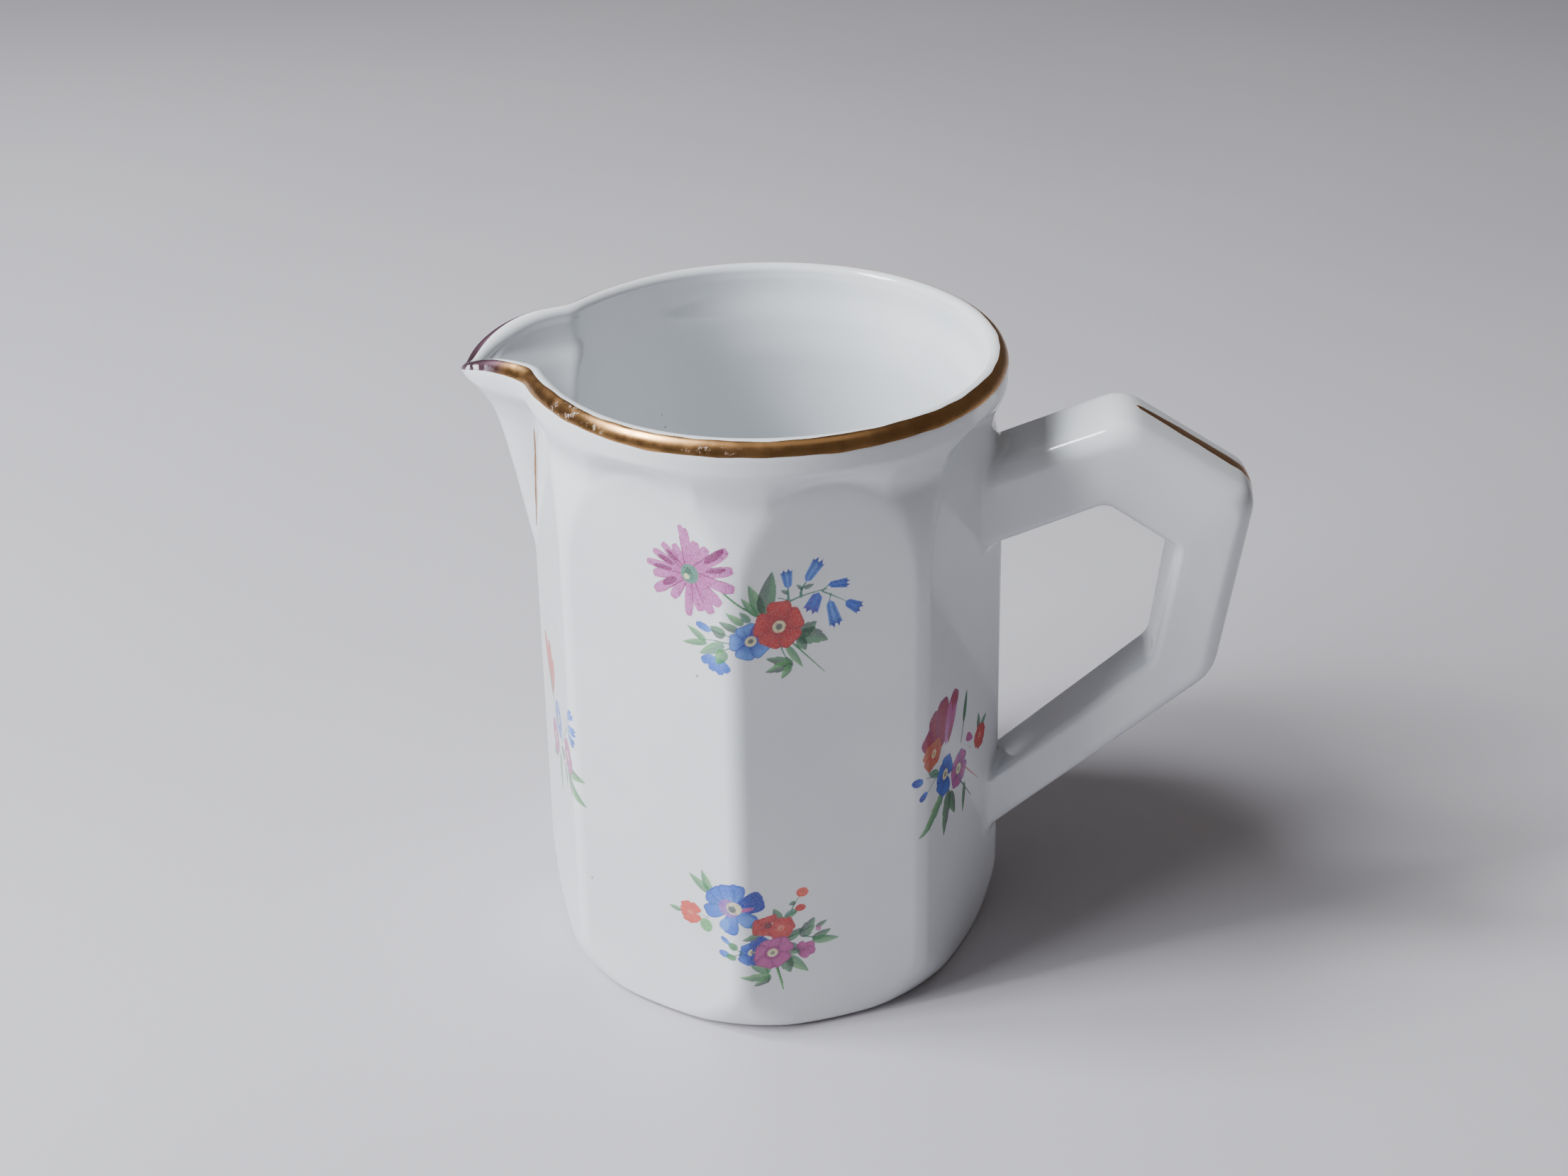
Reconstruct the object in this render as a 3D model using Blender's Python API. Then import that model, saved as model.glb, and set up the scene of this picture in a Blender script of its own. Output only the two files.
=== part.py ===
"""Eight-sided porcelain cream jug with a pulled beak and an angular handle.

The jug stands on the table at z = 0.  The handle points along +X, the beak along
-X, and the painted front faces -Y.  The pieces are drawn about the body's own
axis, and at the end they move together so that the origin lies under the middle
of the whole jug.  Dimensions are in millimetres and become metres in each mesh.
"""
import bpy
import math
from mathutils import Matrix

MM = 0.001

# Body casting
HEIGHT = 100.0                    # table to the crest of the lip
FOOT_VERTEX = 38.6                # axis to an arris, measured at the table
TAPER = 0.0298                    # loss of arris radius per millimetre of height
PANEL_HALF = math.radians(22.5)   # half the angle taken by one panel
ARRIS_RADIUS = 4.5
RIM_RADIUS = 35.9
LIP_DROP = 2.6                    # height of the rounded outer edge of the lip
TIP_DROP = 1.2                    # the same at the tip of the beak
LIP_OUT = 1.9                     # width of that rounded edge
WALL = 3.2                        # thickness of the lip

# Height and radius of the turned shapes that trim the eight-sided body
NECK = [(60, 60.0), (62, 42.0), (70, 37.3), (73, 36.45), (77, 36.1), (80, 35.75),
        (85, 35.0), (88, 34.4), (90, 33.9), (93, 33.2), (100, 33.0)]
FOOT = [(0, 35.35), (0.6, 35.75), (1.5, 36.2), (3, 36.8), (5, 37.4), (8, 38.2),
        (12, 39.2), (20, 42.0), (30, 60.0)]
CAVITY = [(4.6, 24.0), (5.2, 28.5), (7, 30.8), (10, 31.8), (60, 31.0), (85, 30.3),
          (91, 31.0), (96, 32.3), (100, 32.7)]

# Arched tops of the panels and the flare of the neck above them
ARCH_FOOT = 73.0
ARCH_RISE = 20.5
ARCH_HALF = 14.3
FLARE_START = 88.3
FLARE_TOP = 95.8

# Beak: keel distance, half width and squareness of its plan at each height
BEAK_ROOT = 28.0
KEEL = [(64, 36.2), (67, 36.7), (70.6, 37.2), (74.3, 37.75), (78, 38.3), (82, 39.0),
        (85, 39.5), (87.7, 40.15), (89.6, 40.8), (91.9, 42.1), (94.1, 43.95), (95.2, 44.9),
        (97, 45.3), (100, 45.4)]
BEAM = [(64, 4.2), (70.5, 6.0), (78.6, 7.2), (84, 8.3), (88.5, 9.4), (92, 10.8),
        (95, 12.2), (100, 12.8)]
SQUARENESS = [(64, 2.0), (85, 2.1), (95, 1.95), (100, 1.95)]
BEAK_BLEND = [(64, 0.3), (84, 0.4), (90, 1.6), (95, 5.0), (100, 5.3)]
CHANNEL_BLEND = 6.0               # soft edge of the channel inside the beak
BEAK_DROP = 4.2                   # how far the tip falls below the rim
WAIST = 1.0                       # how far the rim is drawn in on either side of the beak
WAIST_TURN = math.radians(35)
WAIST_SPREAD = math.radians(30)

# Foot
FOOT_RING_INNER = 29.5
FOOT_RECESS = 1.6
FLOOR = 4.6

# Handle: inner and outer corners in the XZ plane with the half width at each
HANDLE_INNER = [(36.5, 72.2), (50.8, 79.0), (61.5, 72.1), (59.7, 51.6), (36.5, 28.5)]
HANDLE_OUTER = [(36.5, 84.8), (52.7, 91.8), (71.9, 80.6), (68.9, 49.7), (36.5, 18.1)]
HANDLE_HALF = [7.4, 7.8, 7.2, 5.6, 5.2]
HANDLE_CROWN = 0.8
SLIP_GAP = 0.3
SLIP_FAR = 0.9
HANDLE_GAP = 1.2
ROOT_SHARES = (1.0, 0.65, 0.3)    # nested rings that follow the arris across a root

# Gold and enamel lie on the glaze as thin films
FILM_GAP = 0.25
FILM = 0.25

COLLECTION = "porcelain_cream_jug"


def mix(a, b, t):
    return a + (b - a) * t


def smoothstep(t):
    t = min(max(t, 0.0), 1.0)
    return t * t * (3 - 2 * t)


def soft_min(a, b, width):
    h = min(max(0.5 + 0.5 * (b - a) / width, 0.0), 1.0)
    return mix(b, a, h) - width * h * (1 - h)


def soft_max(a, b, width):
    return -soft_min(-a, -b, width)


def at_height(z, rows):
    """Read a height table, holding its first and last values beyond its ends."""
    if z <= rows[0][0]:
        return rows[0][1]
    for (z0, v0), (z1, v1) in zip(rows, rows[1:]):
        if z <= z1:
            return mix(v0, v1, (z - z0) / (z1 - z0))
    return rows[-1][1]


def octagon(theta, z):
    """Radius of the eight-sided prism with its arrises rounded."""
    away = abs((theta + PANEL_HALF) % (2 * PANEL_HALF) - PANEL_HALF)
    vertex = FOOT_VERTEX - TAPER * z
    centre = vertex - ARRIS_RADIUS / math.cos(PANEL_HALF)
    edge = math.atan2(ARRIS_RADIUS * math.sin(PANEL_HALF),
                      centre + ARRIS_RADIUS * math.cos(PANEL_HALF))
    if away < edge:
        across = centre * math.sin(away)
        return centre * math.cos(away) + math.sqrt(ARRIS_RADIUS ** 2 - across ** 2)
    return vertex * math.cos(PANEL_HALF) / math.cos(PANEL_HALF - away)


def flare(theta, z):
    """Share of the round rim in the section; it starts above each panel's arch."""
    away = abs((theta + PANEL_HALF) % (2 * PANEL_HALF) - PANEL_HALF)
    apothem = (FOOT_VERTEX - TAPER * z) * math.cos(PANEL_HALF)
    along = apothem * math.tan(PANEL_HALF - away)
    arch = ARCH_FOOT + ARCH_RISE * math.sqrt(max(1 - (along / ARCH_HALF) ** 2, 0.0))
    start = max(FLARE_START, arch - 1.2)
    return smoothstep((z - start) / (FLARE_TOP - start))


def beak_plan(turn, z, inset):
    """Distance from the axis to the beak's blunt plan outline, `turn` away from -X."""
    nose = at_height(z, KEEL) - inset
    beam = at_height(z, BEAM) - inset
    power = at_height(z, SQUARENESS)
    low = BEAK_ROOT / math.cos(turn)
    high = 50.0

    def outside(r):
        forward = max((r * math.cos(turn) - BEAK_ROOT) / (nose - BEAK_ROOT), 0.0)
        side = abs(r * math.sin(turn)) / beam
        return forward ** power + side ** power - 1

    if outside(low) > 0:
        return beam / abs(math.sin(turn))
    for _ in range(36):
        middle = (low + high) / 2
        if outside(middle) > 0:
            high = middle
        else:
            low = middle
    return low


def from_beak(theta):
    """Signed angle between a direction and the beak's centre line."""
    return (theta + 2 * math.pi) % (2 * math.pi) - math.pi


def waist(theta):
    """How far the rim is drawn in by the pull of the beak beside it."""
    away = (abs(from_beak(theta)) - WAIST_TURN) / WAIST_SPREAD
    return WAIST * math.exp(-away ** 2)


def outer_radius(theta, z):
    r = soft_min(octagon(theta, z), at_height(z, NECK), 0.7)
    r = soft_min(r, at_height(z, FOOT), 0.7)
    r = mix(r, RIM_RADIUS - waist(theta), flare(theta, z))
    turn = from_beak(theta)
    if abs(turn) < math.radians(30) and z > 62:
        plan = beak_plan(turn, z, 0.0)
        joined = soft_max(r, plan, at_height(z, BEAK_BLEND))
        r = mix(r, joined, smoothstep((z - 62) / 6))
    return r


def inner_radius(theta, z):
    r = at_height(z, CAVITY) - waist(theta) * smoothstep((z - 82) / 14)
    turn = from_beak(theta)
    if abs(turn) < math.radians(30) and z > 76:
        plan = beak_plan(turn, z, WALL)
        joined = soft_max(r, plan, CHANNEL_BLEND)
        r = mix(r, joined, smoothstep((z - 76) / 8))
    return r


def crest(theta):
    """Height of the lip, which falls towards the tip of the beak."""
    forward = -outer_radius(theta, 97.0) * math.cos(theta)
    return HEIGHT - BEAK_DROP * max((forward - 33.0) / 12.3, 0.0) ** 3.2


def fit_height(theta, z):
    """Move a height drawn on the plain rim down with the dipping beak."""
    if z < 66:
        return z
    return mix(66.0, crest(theta), (z - 66.0) / (HEIGHT - 66.0))


def body_directions():
    """Angles round the jug: close at each arris and across the beak."""
    steps = [-15.8, -9.0, -3.2, -1.6, 0.0, 1.6, 3.2, 9.0, 15.8, 22.5]
    degrees = []
    for corner in range(8):
        if corner == 4:
            degrees += [180.0 + 1.25 * k for k in range(-16, 17)]
            degrees.append(202.5)
        else:
            degrees += [45.0 * corner + step for step in steps]
    return [math.radians(d) for d in sorted(d % 360.0 for d in degrees)]


def polar(theta, r, z):
    return (r * math.cos(theta), r * math.sin(theta), z)


def make_mesh(name, points, faces, colour, roughness, metallic, smooth_angle=35):
    mesh = bpy.data.meshes.new(name)
    mesh.from_pydata([tuple(c * MM for c in p) for p in points], [], faces)
    mesh.validate()
    mesh.update()
    material = bpy.data.materials.new(name + "_material")
    material.use_nodes = True
    shader = material.node_tree.nodes["Principled BSDF"]
    shader.inputs["Base Color"].default_value = (*colour, 1.0)
    shader.inputs["Roughness"].default_value = roughness
    shader.inputs["Metallic"].default_value = metallic
    mesh.materials.append(material)
    piece = bpy.data.objects.new(name, mesh)
    bpy.data.collections[COLLECTION].objects.link(piece)
    mesh.shade_smooth()
    mesh.set_sharp_from_angle(angle=math.radians(smooth_angle))
    return piece


def tube_faces(rings, size, closed_path):
    """Quads between neighbouring rings of `size` points."""
    faces = []
    last = rings if closed_path else rings - 1
    for ring in range(last):
        a = ring * size
        b = ((ring + 1) % rings) * size
        for k in range(size):
            n = (k + 1) % size
            faces.append((a + k, a + n, b + n, b + k))
    return faces


def fan(centre, first, size, flip):
    """Triangles from one centre point to a ring."""
    faces = []
    for k in range(size):
        pair = (first + k, first + (k + 1) % size)
        faces.append((centre, pair[1], pair[0]) if flip else (centre, pair[0], pair[1]))
    return faces


def lip_drop(theta):
    """Height of the lip's rounded outer edge, which sharpens along the beak."""
    share = smoothstep((math.radians(17.0) - abs(from_beak(theta))) / math.radians(13.0))
    return mix(LIP_DROP, TIP_DROP, share)


def lip_section(theta):
    """Points over the lip from the outer side to the inner side."""
    top = crest(theta)
    drop = lip_drop(theta)
    low = top - drop
    out = outer_radius(theta, fit_height(theta, HEIGHT - drop))
    inside = inner_radius(theta, top)
    width = out - inside
    over = width * LIP_OUT / WALL
    back = width - over
    section = []
    for k in range(6):
        a = math.radians(18.0 * k)
        section.append((out - over + over * math.cos(a), low + drop * math.sin(a)))
    for k in range(1, 4):
        a = math.radians(30.0 * k)
        section.append((inside + back * (1 - math.sin(a)), top - 1.3 * (1 - math.cos(a))))
    return section


def make_body():
    """Slip-cast vessel: panelled wall, beak, round lip, cavity and foot ring."""
    outer_heights = [0.0, 0.6, 1.5, 3.0, 5.0, 8.0, 13.0, 22.0, 62.0, 67.0, 71.0, 75.0,
                     79.0, 83.0, 86.0, 88.3, 90.3, 92.0, 93.5, 94.8, 96.0]
    inner_heights = [96.0, 93.0, 90.0, 86.0, 80.0, 70.0, 40.0, 10.0, 7.0, 5.2, 4.6]
    directions = body_directions()
    columns = []
    for theta in directions:
        column = [(FOOT_RING_INNER - 0.8, FOOT_RECESS), (FOOT_RING_INNER, 0.0)]
        for z in outer_heights:
            fitted = fit_height(theta, z)
            column.append((outer_radius(theta, fitted), fitted))
        column += lip_section(theta)
        for z in inner_heights:
            fitted = fit_height(theta, z)
            column.append((inner_radius(theta, fitted), fitted))
        columns.append(column)
    size = len(columns[0])
    points = []
    for theta, column in zip(directions, columns):
        points += [polar(theta, r, z) for r, z in column]
    faces = []
    count = len(directions)
    for d in range(count):
        a = d * size
        b = ((d + 1) % count) * size
        for k in range(size - 1):
            faces.append((a + k, b + k, b + k + 1, a + k + 1))
    under = len(points)
    points.append((0.0, 0.0, FOOT_RECESS))
    floor = len(points)
    points.append((0.0, 0.0, FLOOR))
    for d in range(count):
        a = d * size
        b = ((d + 1) % count) * size
        faces.append((under, b, a))
        faces.append((floor, a + size - 1, b + size - 1))
    return make_mesh("jug_body", points, faces, (0.80, 0.82, 0.83), 0.08, 0.0)


def soften(corners, cut):
    """Replace each inside corner of a line by a short curve of four points."""
    line = [corners[0]]
    for before, corner, after in zip(corners, corners[1:], corners[2:]):
        start = step_towards(corner, before, cut)
        end = step_towards(corner, after, cut)
        for t in (0.0, 0.33, 0.67, 1.0):
            a = [mix(s, c, t) for s, c in zip(start, corner)]
            b = [mix(c, e, t) for c, e in zip(corner, end)]
            line.append(tuple(mix(p, q, t) for p, q in zip(a, b)))
    line.append(corners[-1])
    return line


def step_towards(here, there, distance):
    length = math.dist(here[:2], there[:2])
    return tuple(mix(a, b, distance / length) for a, b in zip(here, there))


def handle_stations():
    """Inner point, outer point and half width along the handle's loop."""
    inner = soften(HANDLE_INNER, 1.6)
    outer = soften([(x, z, w) for (x, z), w in zip(HANDLE_OUTER, HANDLE_HALF)], 3.0)
    return list(zip(inner, outer))


def handle_ring(inner, outer):
    """Rounded four-sided section with a slightly crowned outer face."""
    half = outer[2]
    depth = math.dist(inner, outer[:2])
    toe = 0.23 * half
    shoulder = 0.38 * half
    side = []
    for k in range(3):
        a = math.radians(45.0 * k)
        side.append((half - toe * (1 - math.sin(a)), toe * (1 - math.cos(a))))
    for k in range(4):
        a = math.radians(30.0 * k)
        side.append((half - shoulder * (1 - math.cos(a)),
                     depth - shoulder * (1 - math.sin(a))))
    side.append((0.3 * half, depth + 0.8 * HANDLE_CROWN))
    far_side = [(-across, rise) for across, rise in reversed(side)]
    flat = [(-0.4 * half, 0.0), (0.0, 0.0), (0.4 * half, 0.0)]
    profile = side + [(0.0, depth + HANDLE_CROWN)] + far_side + flat
    ring = []
    for across, rise in profile:
        x = mix(inner[0], outer[0], rise / depth)
        z = mix(inner[1], outer[1], rise / depth)
        ring.append((x, across, z))
    return ring


def land_on_body(point, beyond, gap):
    """Slide a section point along its bar to `gap` outside the body."""
    low, high = 0.0, 1.0
    for _ in range(30):
        t = (low + high) / 2
        p = [mix(a, b, t) for a, b in zip(point, beyond)]
        clear = math.hypot(p[0], p[1]) - outer_radius(math.atan2(p[1], p[0]), p[2]) - gap
        if clear > 0:
            low = t
        else:
            high = t
    return tuple(mix(a, b, low) for a, b in zip(point, beyond))


def root_rings(which):
    """The first free section at a root and the same section carried to the axis."""
    stations = handle_stations()
    if which == "lower":
        stations.reverse()
    free = handle_ring(*stations[1])
    end = handle_ring(*stations[0])
    deep = [tuple(mix(a, b, 1.9) for a, b in zip(p, q)) for p, q in zip(free, end)]
    return free, deep


def shrink(ring, share):
    """The same section drawn smaller about its own middle."""
    middle = [sum(p[k] for p in ring) / len(ring) for k in (0, 1, 2)]
    return [tuple(mix(m, c, share) for m, c in zip(middle, p)) for p in ring]


def landed(which, gap):
    """Nested rings and a last middle point, all `gap` outside the body."""
    free, deep = root_rings(which)
    points = []
    for share in ROOT_SHARES:
        pairs = zip(shrink(free, share), shrink(deep, share))
        points += [land_on_body(p, q, gap) for p, q in pairs]
    near = shrink(free, 0.0)[0]
    far = shrink(deep, 0.0)[0]
    return points + [land_on_body(near, far, gap)]


def root_cap(first, size, flip):
    """Faces that close a root across the nested rings made by `landed`."""
    faces = tube_faces(len(ROOT_SHARES), size, False)
    faces = [tuple(first + k for k in face) for face in faces]
    if not flip:
        faces = [tuple(reversed(face)) for face in faces]
    middle = first + len(ROOT_SHARES) * size
    return faces + fan(middle, middle - size, size, not flip)


def make_handle():
    """Angular loop, wide at the top bar and slimmer at the lower root."""
    rings = [handle_ring(*station) for station in handle_stations()[1:-1]]
    upper = landed("upper", HANDLE_GAP)
    lower = landed("lower", HANDLE_GAP)
    size = len(rings[0])
    rings = [upper[:size]] + rings + [lower[:size]]
    points = [p for ring in rings for p in ring]
    faces = tube_faces(len(rings), size, False)
    last = len(points) - size
    joins = [(0, upper, False), (last, lower, True)]
    for edge, cap, flip in joins:
        first = len(points)
        points += cap[size:]
        known = list(range(edge, edge + size)) + list(range(first, first + len(cap) - size))
        for face in root_cap(0, size, flip):
            faces.append(tuple(known[k] for k in face))
    return make_mesh("handle", points, faces, (0.80, 0.82, 0.83), 0.08, 0.0, 60)


def make_slip_joint(name, which):
    """Pad of fired slip between a handle root and the wall."""
    near = landed(which, SLIP_GAP)
    far = landed(which, SLIP_FAR)
    size = (len(near) - 1) // len(ROOT_SHARES)
    across = len(near)
    points = near + far
    faces = root_cap(0, size, False) + root_cap(across, size, True)
    for k in range(size):
        n = (k + 1) % size
        faces.append((k, n, across + n, across + k))
    if which == "lower":
        faces = [tuple(reversed(face)) for face in faces]
    return make_mesh(name, points, faces, (0.78, 0.80, 0.80), 0.15, 0.0, 60)


def make_rim_gilding():
    """Gold band over the outer edge of the lip, all round the mouth and beak."""
    directions = body_directions()
    rings = []
    for theta in directions:
        top = crest(theta)
        drop = lip_drop(theta)
        low = top - drop
        out = outer_radius(theta, fit_height(theta, HEIGHT - drop))
        over = (out - inner_radius(theta, top)) * LIP_OUT / WALL
        near, far = [], []
        for k in range(5):
            a = math.radians(18.0 * k)
            for film, edge in ((FILM_GAP, near), (FILM_GAP + FILM, far)):
                edge.append((out - over + (over + film) * math.cos(a),
                             low + (drop + film) * math.sin(a)))
        near.insert(0, (out + FILM_GAP, low - 0.5))
        far.insert(0, (out + FILM_GAP + FILM, low - 0.5))
        rings.append([polar(theta, r, z) for r, z in near + far[::-1]])
    size = len(rings[0])
    points = [p for ring in rings for p in ring]
    faces = tube_faces(len(rings), size, True)
    return make_mesh("rim_gilding", points, faces, (0.42, 0.24, 0.09), 0.25, 1.0, 50)


def make_handle_gilding():
    """Gold stroke down the back of the slanted upper segment."""
    outer = soften([(x, z, w) for (x, z), w in zip(HANDLE_OUTER, HANDLE_HALF)], 3.0)
    inner = soften(HANDLE_INNER, 1.6)
    first = 4
    spine = []
    for k in range(first, 9):
        away = step_towards(outer[k][:2], inner[k], -HANDLE_CROWN)
        spine.append((away, outer[k][:2], inner[k]))
    widths = [0.7, 1.6, 1.8, 1.7, 0.8]
    points = []
    for (top, edge, root), half in zip(spine, widths):
        near = step_towards(edge, root, -(HANDLE_CROWN + FILM_GAP))
        far = step_towards(edge, root, -(HANDLE_CROWN + FILM_GAP + FILM))
        for (x, z), y in ((near, -half), (near, half), (far, half), (far, -half)):
            points.append((x, y, z))
    faces = tube_faces(len(spine), 4, False)
    end = 4 * (len(spine) - 1)
    faces += [(3, 2, 1, 0), (end, end + 1, end + 2, end + 3)]
    return make_mesh("handle_gilding", points, faces, (0.36, 0.20, 0.08), 0.3, 1.0, 50)


def crease(z, side):
    """Angle at which the beak leaves the body at one height."""
    beam = at_height(z, BEAM)
    best = None
    for k in range(60):
        turn = math.radians(6.0 + 0.2 * k)
        plan = beak_plan(turn, z, 0.0)
        r = soft_min(octagon(math.pi + turn, z), at_height(z, NECK), 0.7)
        if plan < r:
            best = turn
            break
    if best is None:
        best = math.asin(min(beam / outer_radius(math.pi, z), 1.0))
    return math.pi + side * best


def make_spout_gilding(name, side):
    """Thin gold line lying in the crease beside the beak."""
    heights = [71.0, 74.0, 77.0, 80.0, 83.0, 86.0, 88.5]
    points = []
    for z in heights:
        theta = crease(z, side)
        r = outer_radius(theta, z)
        turn = 0.3 / r
        for film, angle in ((0.75, turn), (0.75, -turn), (1.0, -turn), (1.0, turn)):
            points.append(polar(theta + angle, r + film, z))
    faces = tube_faces(len(heights), 4, False)
    end = 4 * (len(heights) - 1)
    faces += [(3, 2, 1, 0), (end, end + 1, end + 2, end + 3)]
    return make_mesh(name, points, faces, (0.36, 0.22, 0.10), 0.3, 1.0, 50)


def spray_columns(middle, half_arc):
    """Angles across a spray: its two ends and the body's own lines between them."""
    first = math.radians(middle - half_arc)
    last = math.radians(middle + half_arc)
    columns = [first]
    for direction in body_directions():
        for turned in (direction, direction - 2 * math.pi):
            if first + 0.01 < turned < last - 0.01:
                columns.append(turned)
    return sorted(columns) + [last]


def make_spray(name, middle, centre_z, half_arc, half_height):
    """Enamel transfer: a thin film wrapped on the wall.  Angles in degrees."""
    columns = spray_columns(middle, half_arc)
    rows = 7
    points = []
    for film in (FILM_GAP, FILM_GAP + FILM):
        for theta in columns:
            along = (math.degrees(theta) - middle) / half_arc * 0.985
            reach = half_height * (1 - abs(along) ** 3) ** (1 / 3)
            for row in range(rows):
                z = centre_z + reach * (2 * row / (rows - 1) - 1)
                points.append(polar(theta, outer_radius(theta, z) + film, z))
    layer = len(columns) * rows
    faces = []
    for column in range(len(columns) - 1):
        for row in range(rows - 1):
            a = column * rows + row
            quad = (a, a + rows, a + rows + 1, a + 1)
            faces.append(tuple(reversed(quad)))
            faces.append(tuple(k + layer for k in quad))
    border = [column * rows for column in range(len(columns))]
    border += [layer - rows + row for row in range(1, rows)]
    border += [column * rows + rows - 1 for column in range(len(columns) - 2, -1, -1)]
    border += [row for row in range(rows - 2, 0, -1)]
    for k, here in enumerate(border):
        there = border[(k + 1) % len(border)]
        faces.append((here, there, there + layer, here + layer))
    return make_mesh(name, points, faces, (0.42, 0.22, 0.42), 0.2, 0.0, 50)


def centre_over_origin():
    """Move every piece along X until the jug's box is centred on the origin."""
    pieces = bpy.data.collections[COLLECTION].objects
    along = [vertex.co.x for piece in pieces for vertex in piece.data.vertices]
    shift = Matrix.Translation((-(min(along) + max(along)) / 2, 0.0, 0.0))
    for piece in pieces:
        piece.data.transform(shift)


def clear_scene():
    for old in list(bpy.data.objects):
        bpy.data.objects.remove(old, do_unlink=True)


def build():
    clear_scene()
    collection = bpy.data.collections.new(COLLECTION)
    bpy.context.scene.collection.children.link(collection)
    make_body()
    make_handle()
    make_slip_joint("upper_slip_joint", "upper")
    make_slip_joint("lower_slip_joint", "lower")
    make_rim_gilding()
    make_handle_gilding()
    make_spout_gilding("spout_gilding_front", 1)
    make_spout_gilding("spout_gilding_back", -1)
    make_spray("front_upper_spray", -87.0, 74.6, 27.0, 13.0)
    make_spray("front_lower_spray", -87.0, 19.5, 23.0, 12.0)
    make_spray("front_handle_side_spray", -28.0, 40.0, 19.5, 13.5)
    make_spray("front_spout_side_spray", -151.0, 40.5, 19.5, 13.5)
    make_spray("back_upper_spray", 93.0, 74.6, 27.0, 13.0)
    make_spray("back_lower_spray", 93.0, 19.5, 23.0, 12.0)
    make_spray("back_handle_side_spray", 29.0, 40.5, 19.5, 13.5)
    make_spray("back_spout_side_spray", 152.0, 40.0, 19.5, 13.5)
    centre_over_origin()


build()
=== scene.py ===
"""The porcelain cream jug, finished: glazed body, worn gilding and printed flowers.

Lengths are in millimetres about the body's own axis until a mesh is made.  The
handle points along +X, the beak along -X and the painted front faces -Y.
"""
import math

import bpy
import numpy as np
from mathutils import Matrix, Vector


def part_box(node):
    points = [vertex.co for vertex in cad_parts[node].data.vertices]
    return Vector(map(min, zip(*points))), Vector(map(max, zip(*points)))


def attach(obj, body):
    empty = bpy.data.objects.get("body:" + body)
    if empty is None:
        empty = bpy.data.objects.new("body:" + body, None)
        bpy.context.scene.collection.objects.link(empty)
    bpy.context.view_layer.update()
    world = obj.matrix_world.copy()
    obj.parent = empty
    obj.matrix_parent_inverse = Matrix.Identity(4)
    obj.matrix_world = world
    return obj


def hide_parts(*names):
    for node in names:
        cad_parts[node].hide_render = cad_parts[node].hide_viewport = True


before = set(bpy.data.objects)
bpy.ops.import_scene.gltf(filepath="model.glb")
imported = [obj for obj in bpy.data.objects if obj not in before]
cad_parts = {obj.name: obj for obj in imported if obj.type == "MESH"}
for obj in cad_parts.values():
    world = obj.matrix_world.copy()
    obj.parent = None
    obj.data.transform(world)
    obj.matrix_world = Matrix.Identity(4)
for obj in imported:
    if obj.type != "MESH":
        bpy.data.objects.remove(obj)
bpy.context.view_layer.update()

MM = 0.001

# Taken from the jug_body part in model.glb: the body's axis, its height and its foot
BODY_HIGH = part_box("jug_body")[1]
AXIS_X = BODY_HIGH.x - BODY_HIGH.y
HEIGHT = BODY_HIGH.z / MM

# Eight-sided wall
FOOT_VERTEX = 0.386 * HEIGHT
TAPER = 0.0298
PANEL_HALF = math.radians(22.5)
ARRIS_RADIUS = 4.5
RIM_RADIUS = 35.9
ARCH_SOFTNESS = 0.45
NECK = [(66, 38.5), (70, 37.3), (73, 36.45), (77, 36.1), (80, 35.75), (85, 35.0),
        (88, 34.4), (90, 33.9), (93, 33.2), (96, 33.0)]
FOOT = [(0, 35.35), (0.6, 35.75), (1.5, 36.2), (3, 36.8), (5, 37.4), (8, 38.2),
        (12, 39.2), (20, 42.0)]
ARCH_FOOT = 73.0
ARCH_RISE = 20.5
ARCH_HALF = 14.3
FLARE_START = 88.3
FLARE_TOP = 95.8

# Beak
BEAK_ROOT = 28.0
BEAK_REACH = math.radians(30)
KEEL = [(64, 36.2), (67, 36.7), (70.6, 37.2), (74.3, 37.75), (78, 38.3), (82, 39.0),
        (85, 39.5), (87.7, 40.15), (89.6, 40.8), (91.9, 42.1), (94.1, 43.95), (95.2, 44.9),
        (97, 45.3), (100, 45.4)]
BEAM = [(64, 4.2), (70.5, 6.0), (78.6, 7.2), (84, 8.3), (88.5, 9.4), (92, 10.8), (95, 12.2),
        (100, 12.8)]
SQUARENESS = [(64, 2.0), (85, 2.1), (95, 1.95), (100, 1.95)]
BEAK_BLEND = [(64, 0.3), (84, 0.4), (90, 1.6), (95, 5.0), (100, 5.3)]
BEAK_START, BEAK_GROWTH = 62.0, 6.0          # where the keel rises, and over what height
CHANNEL_START, CHANNEL_GROWTH = 72.0, 16.0   # the same for the channel inside it
CHANNEL_BLEND = 8.0
BEAK_DROP = 4.2
WAIST = 1.0                       # how far the rim is drawn in on either side of the beak
WAIST_TURN = math.radians(35)
WAIST_SPREAD = math.radians(30)

# Lip, cavity and foot
WALL = 3.2
LIP_DROP = 2.6
TIP_DROP = 1.2
LIP_OUT = 1.9
LIP_BACK_DROP = 1.3
CAVITY = [(10, 31.8), (60, 31.0), (85, 30.3), (91, 31.0), (96, 32.3), (100, 32.7)]
FLOOR = 4.6
FLOOR_RADIUS = 24.0
CAVITY_FOOT = 10.0
FOOT_RECESS = 1.6
FOOT_EDGE = 0.9                   # rounding on the outside of the foot ring
FOOT_RING = [(10.0, FOOT_RECESS), (27.9, FOOT_RECESS), (28.7, 1.5), (29.1, 1.2), (29.3, 0.7),
             (29.5, 0.25), (29.9, 0.03), (30.6, 0.0)]
SHOULDER = 66.0                   # heights above this follow the dip of the lip

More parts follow.
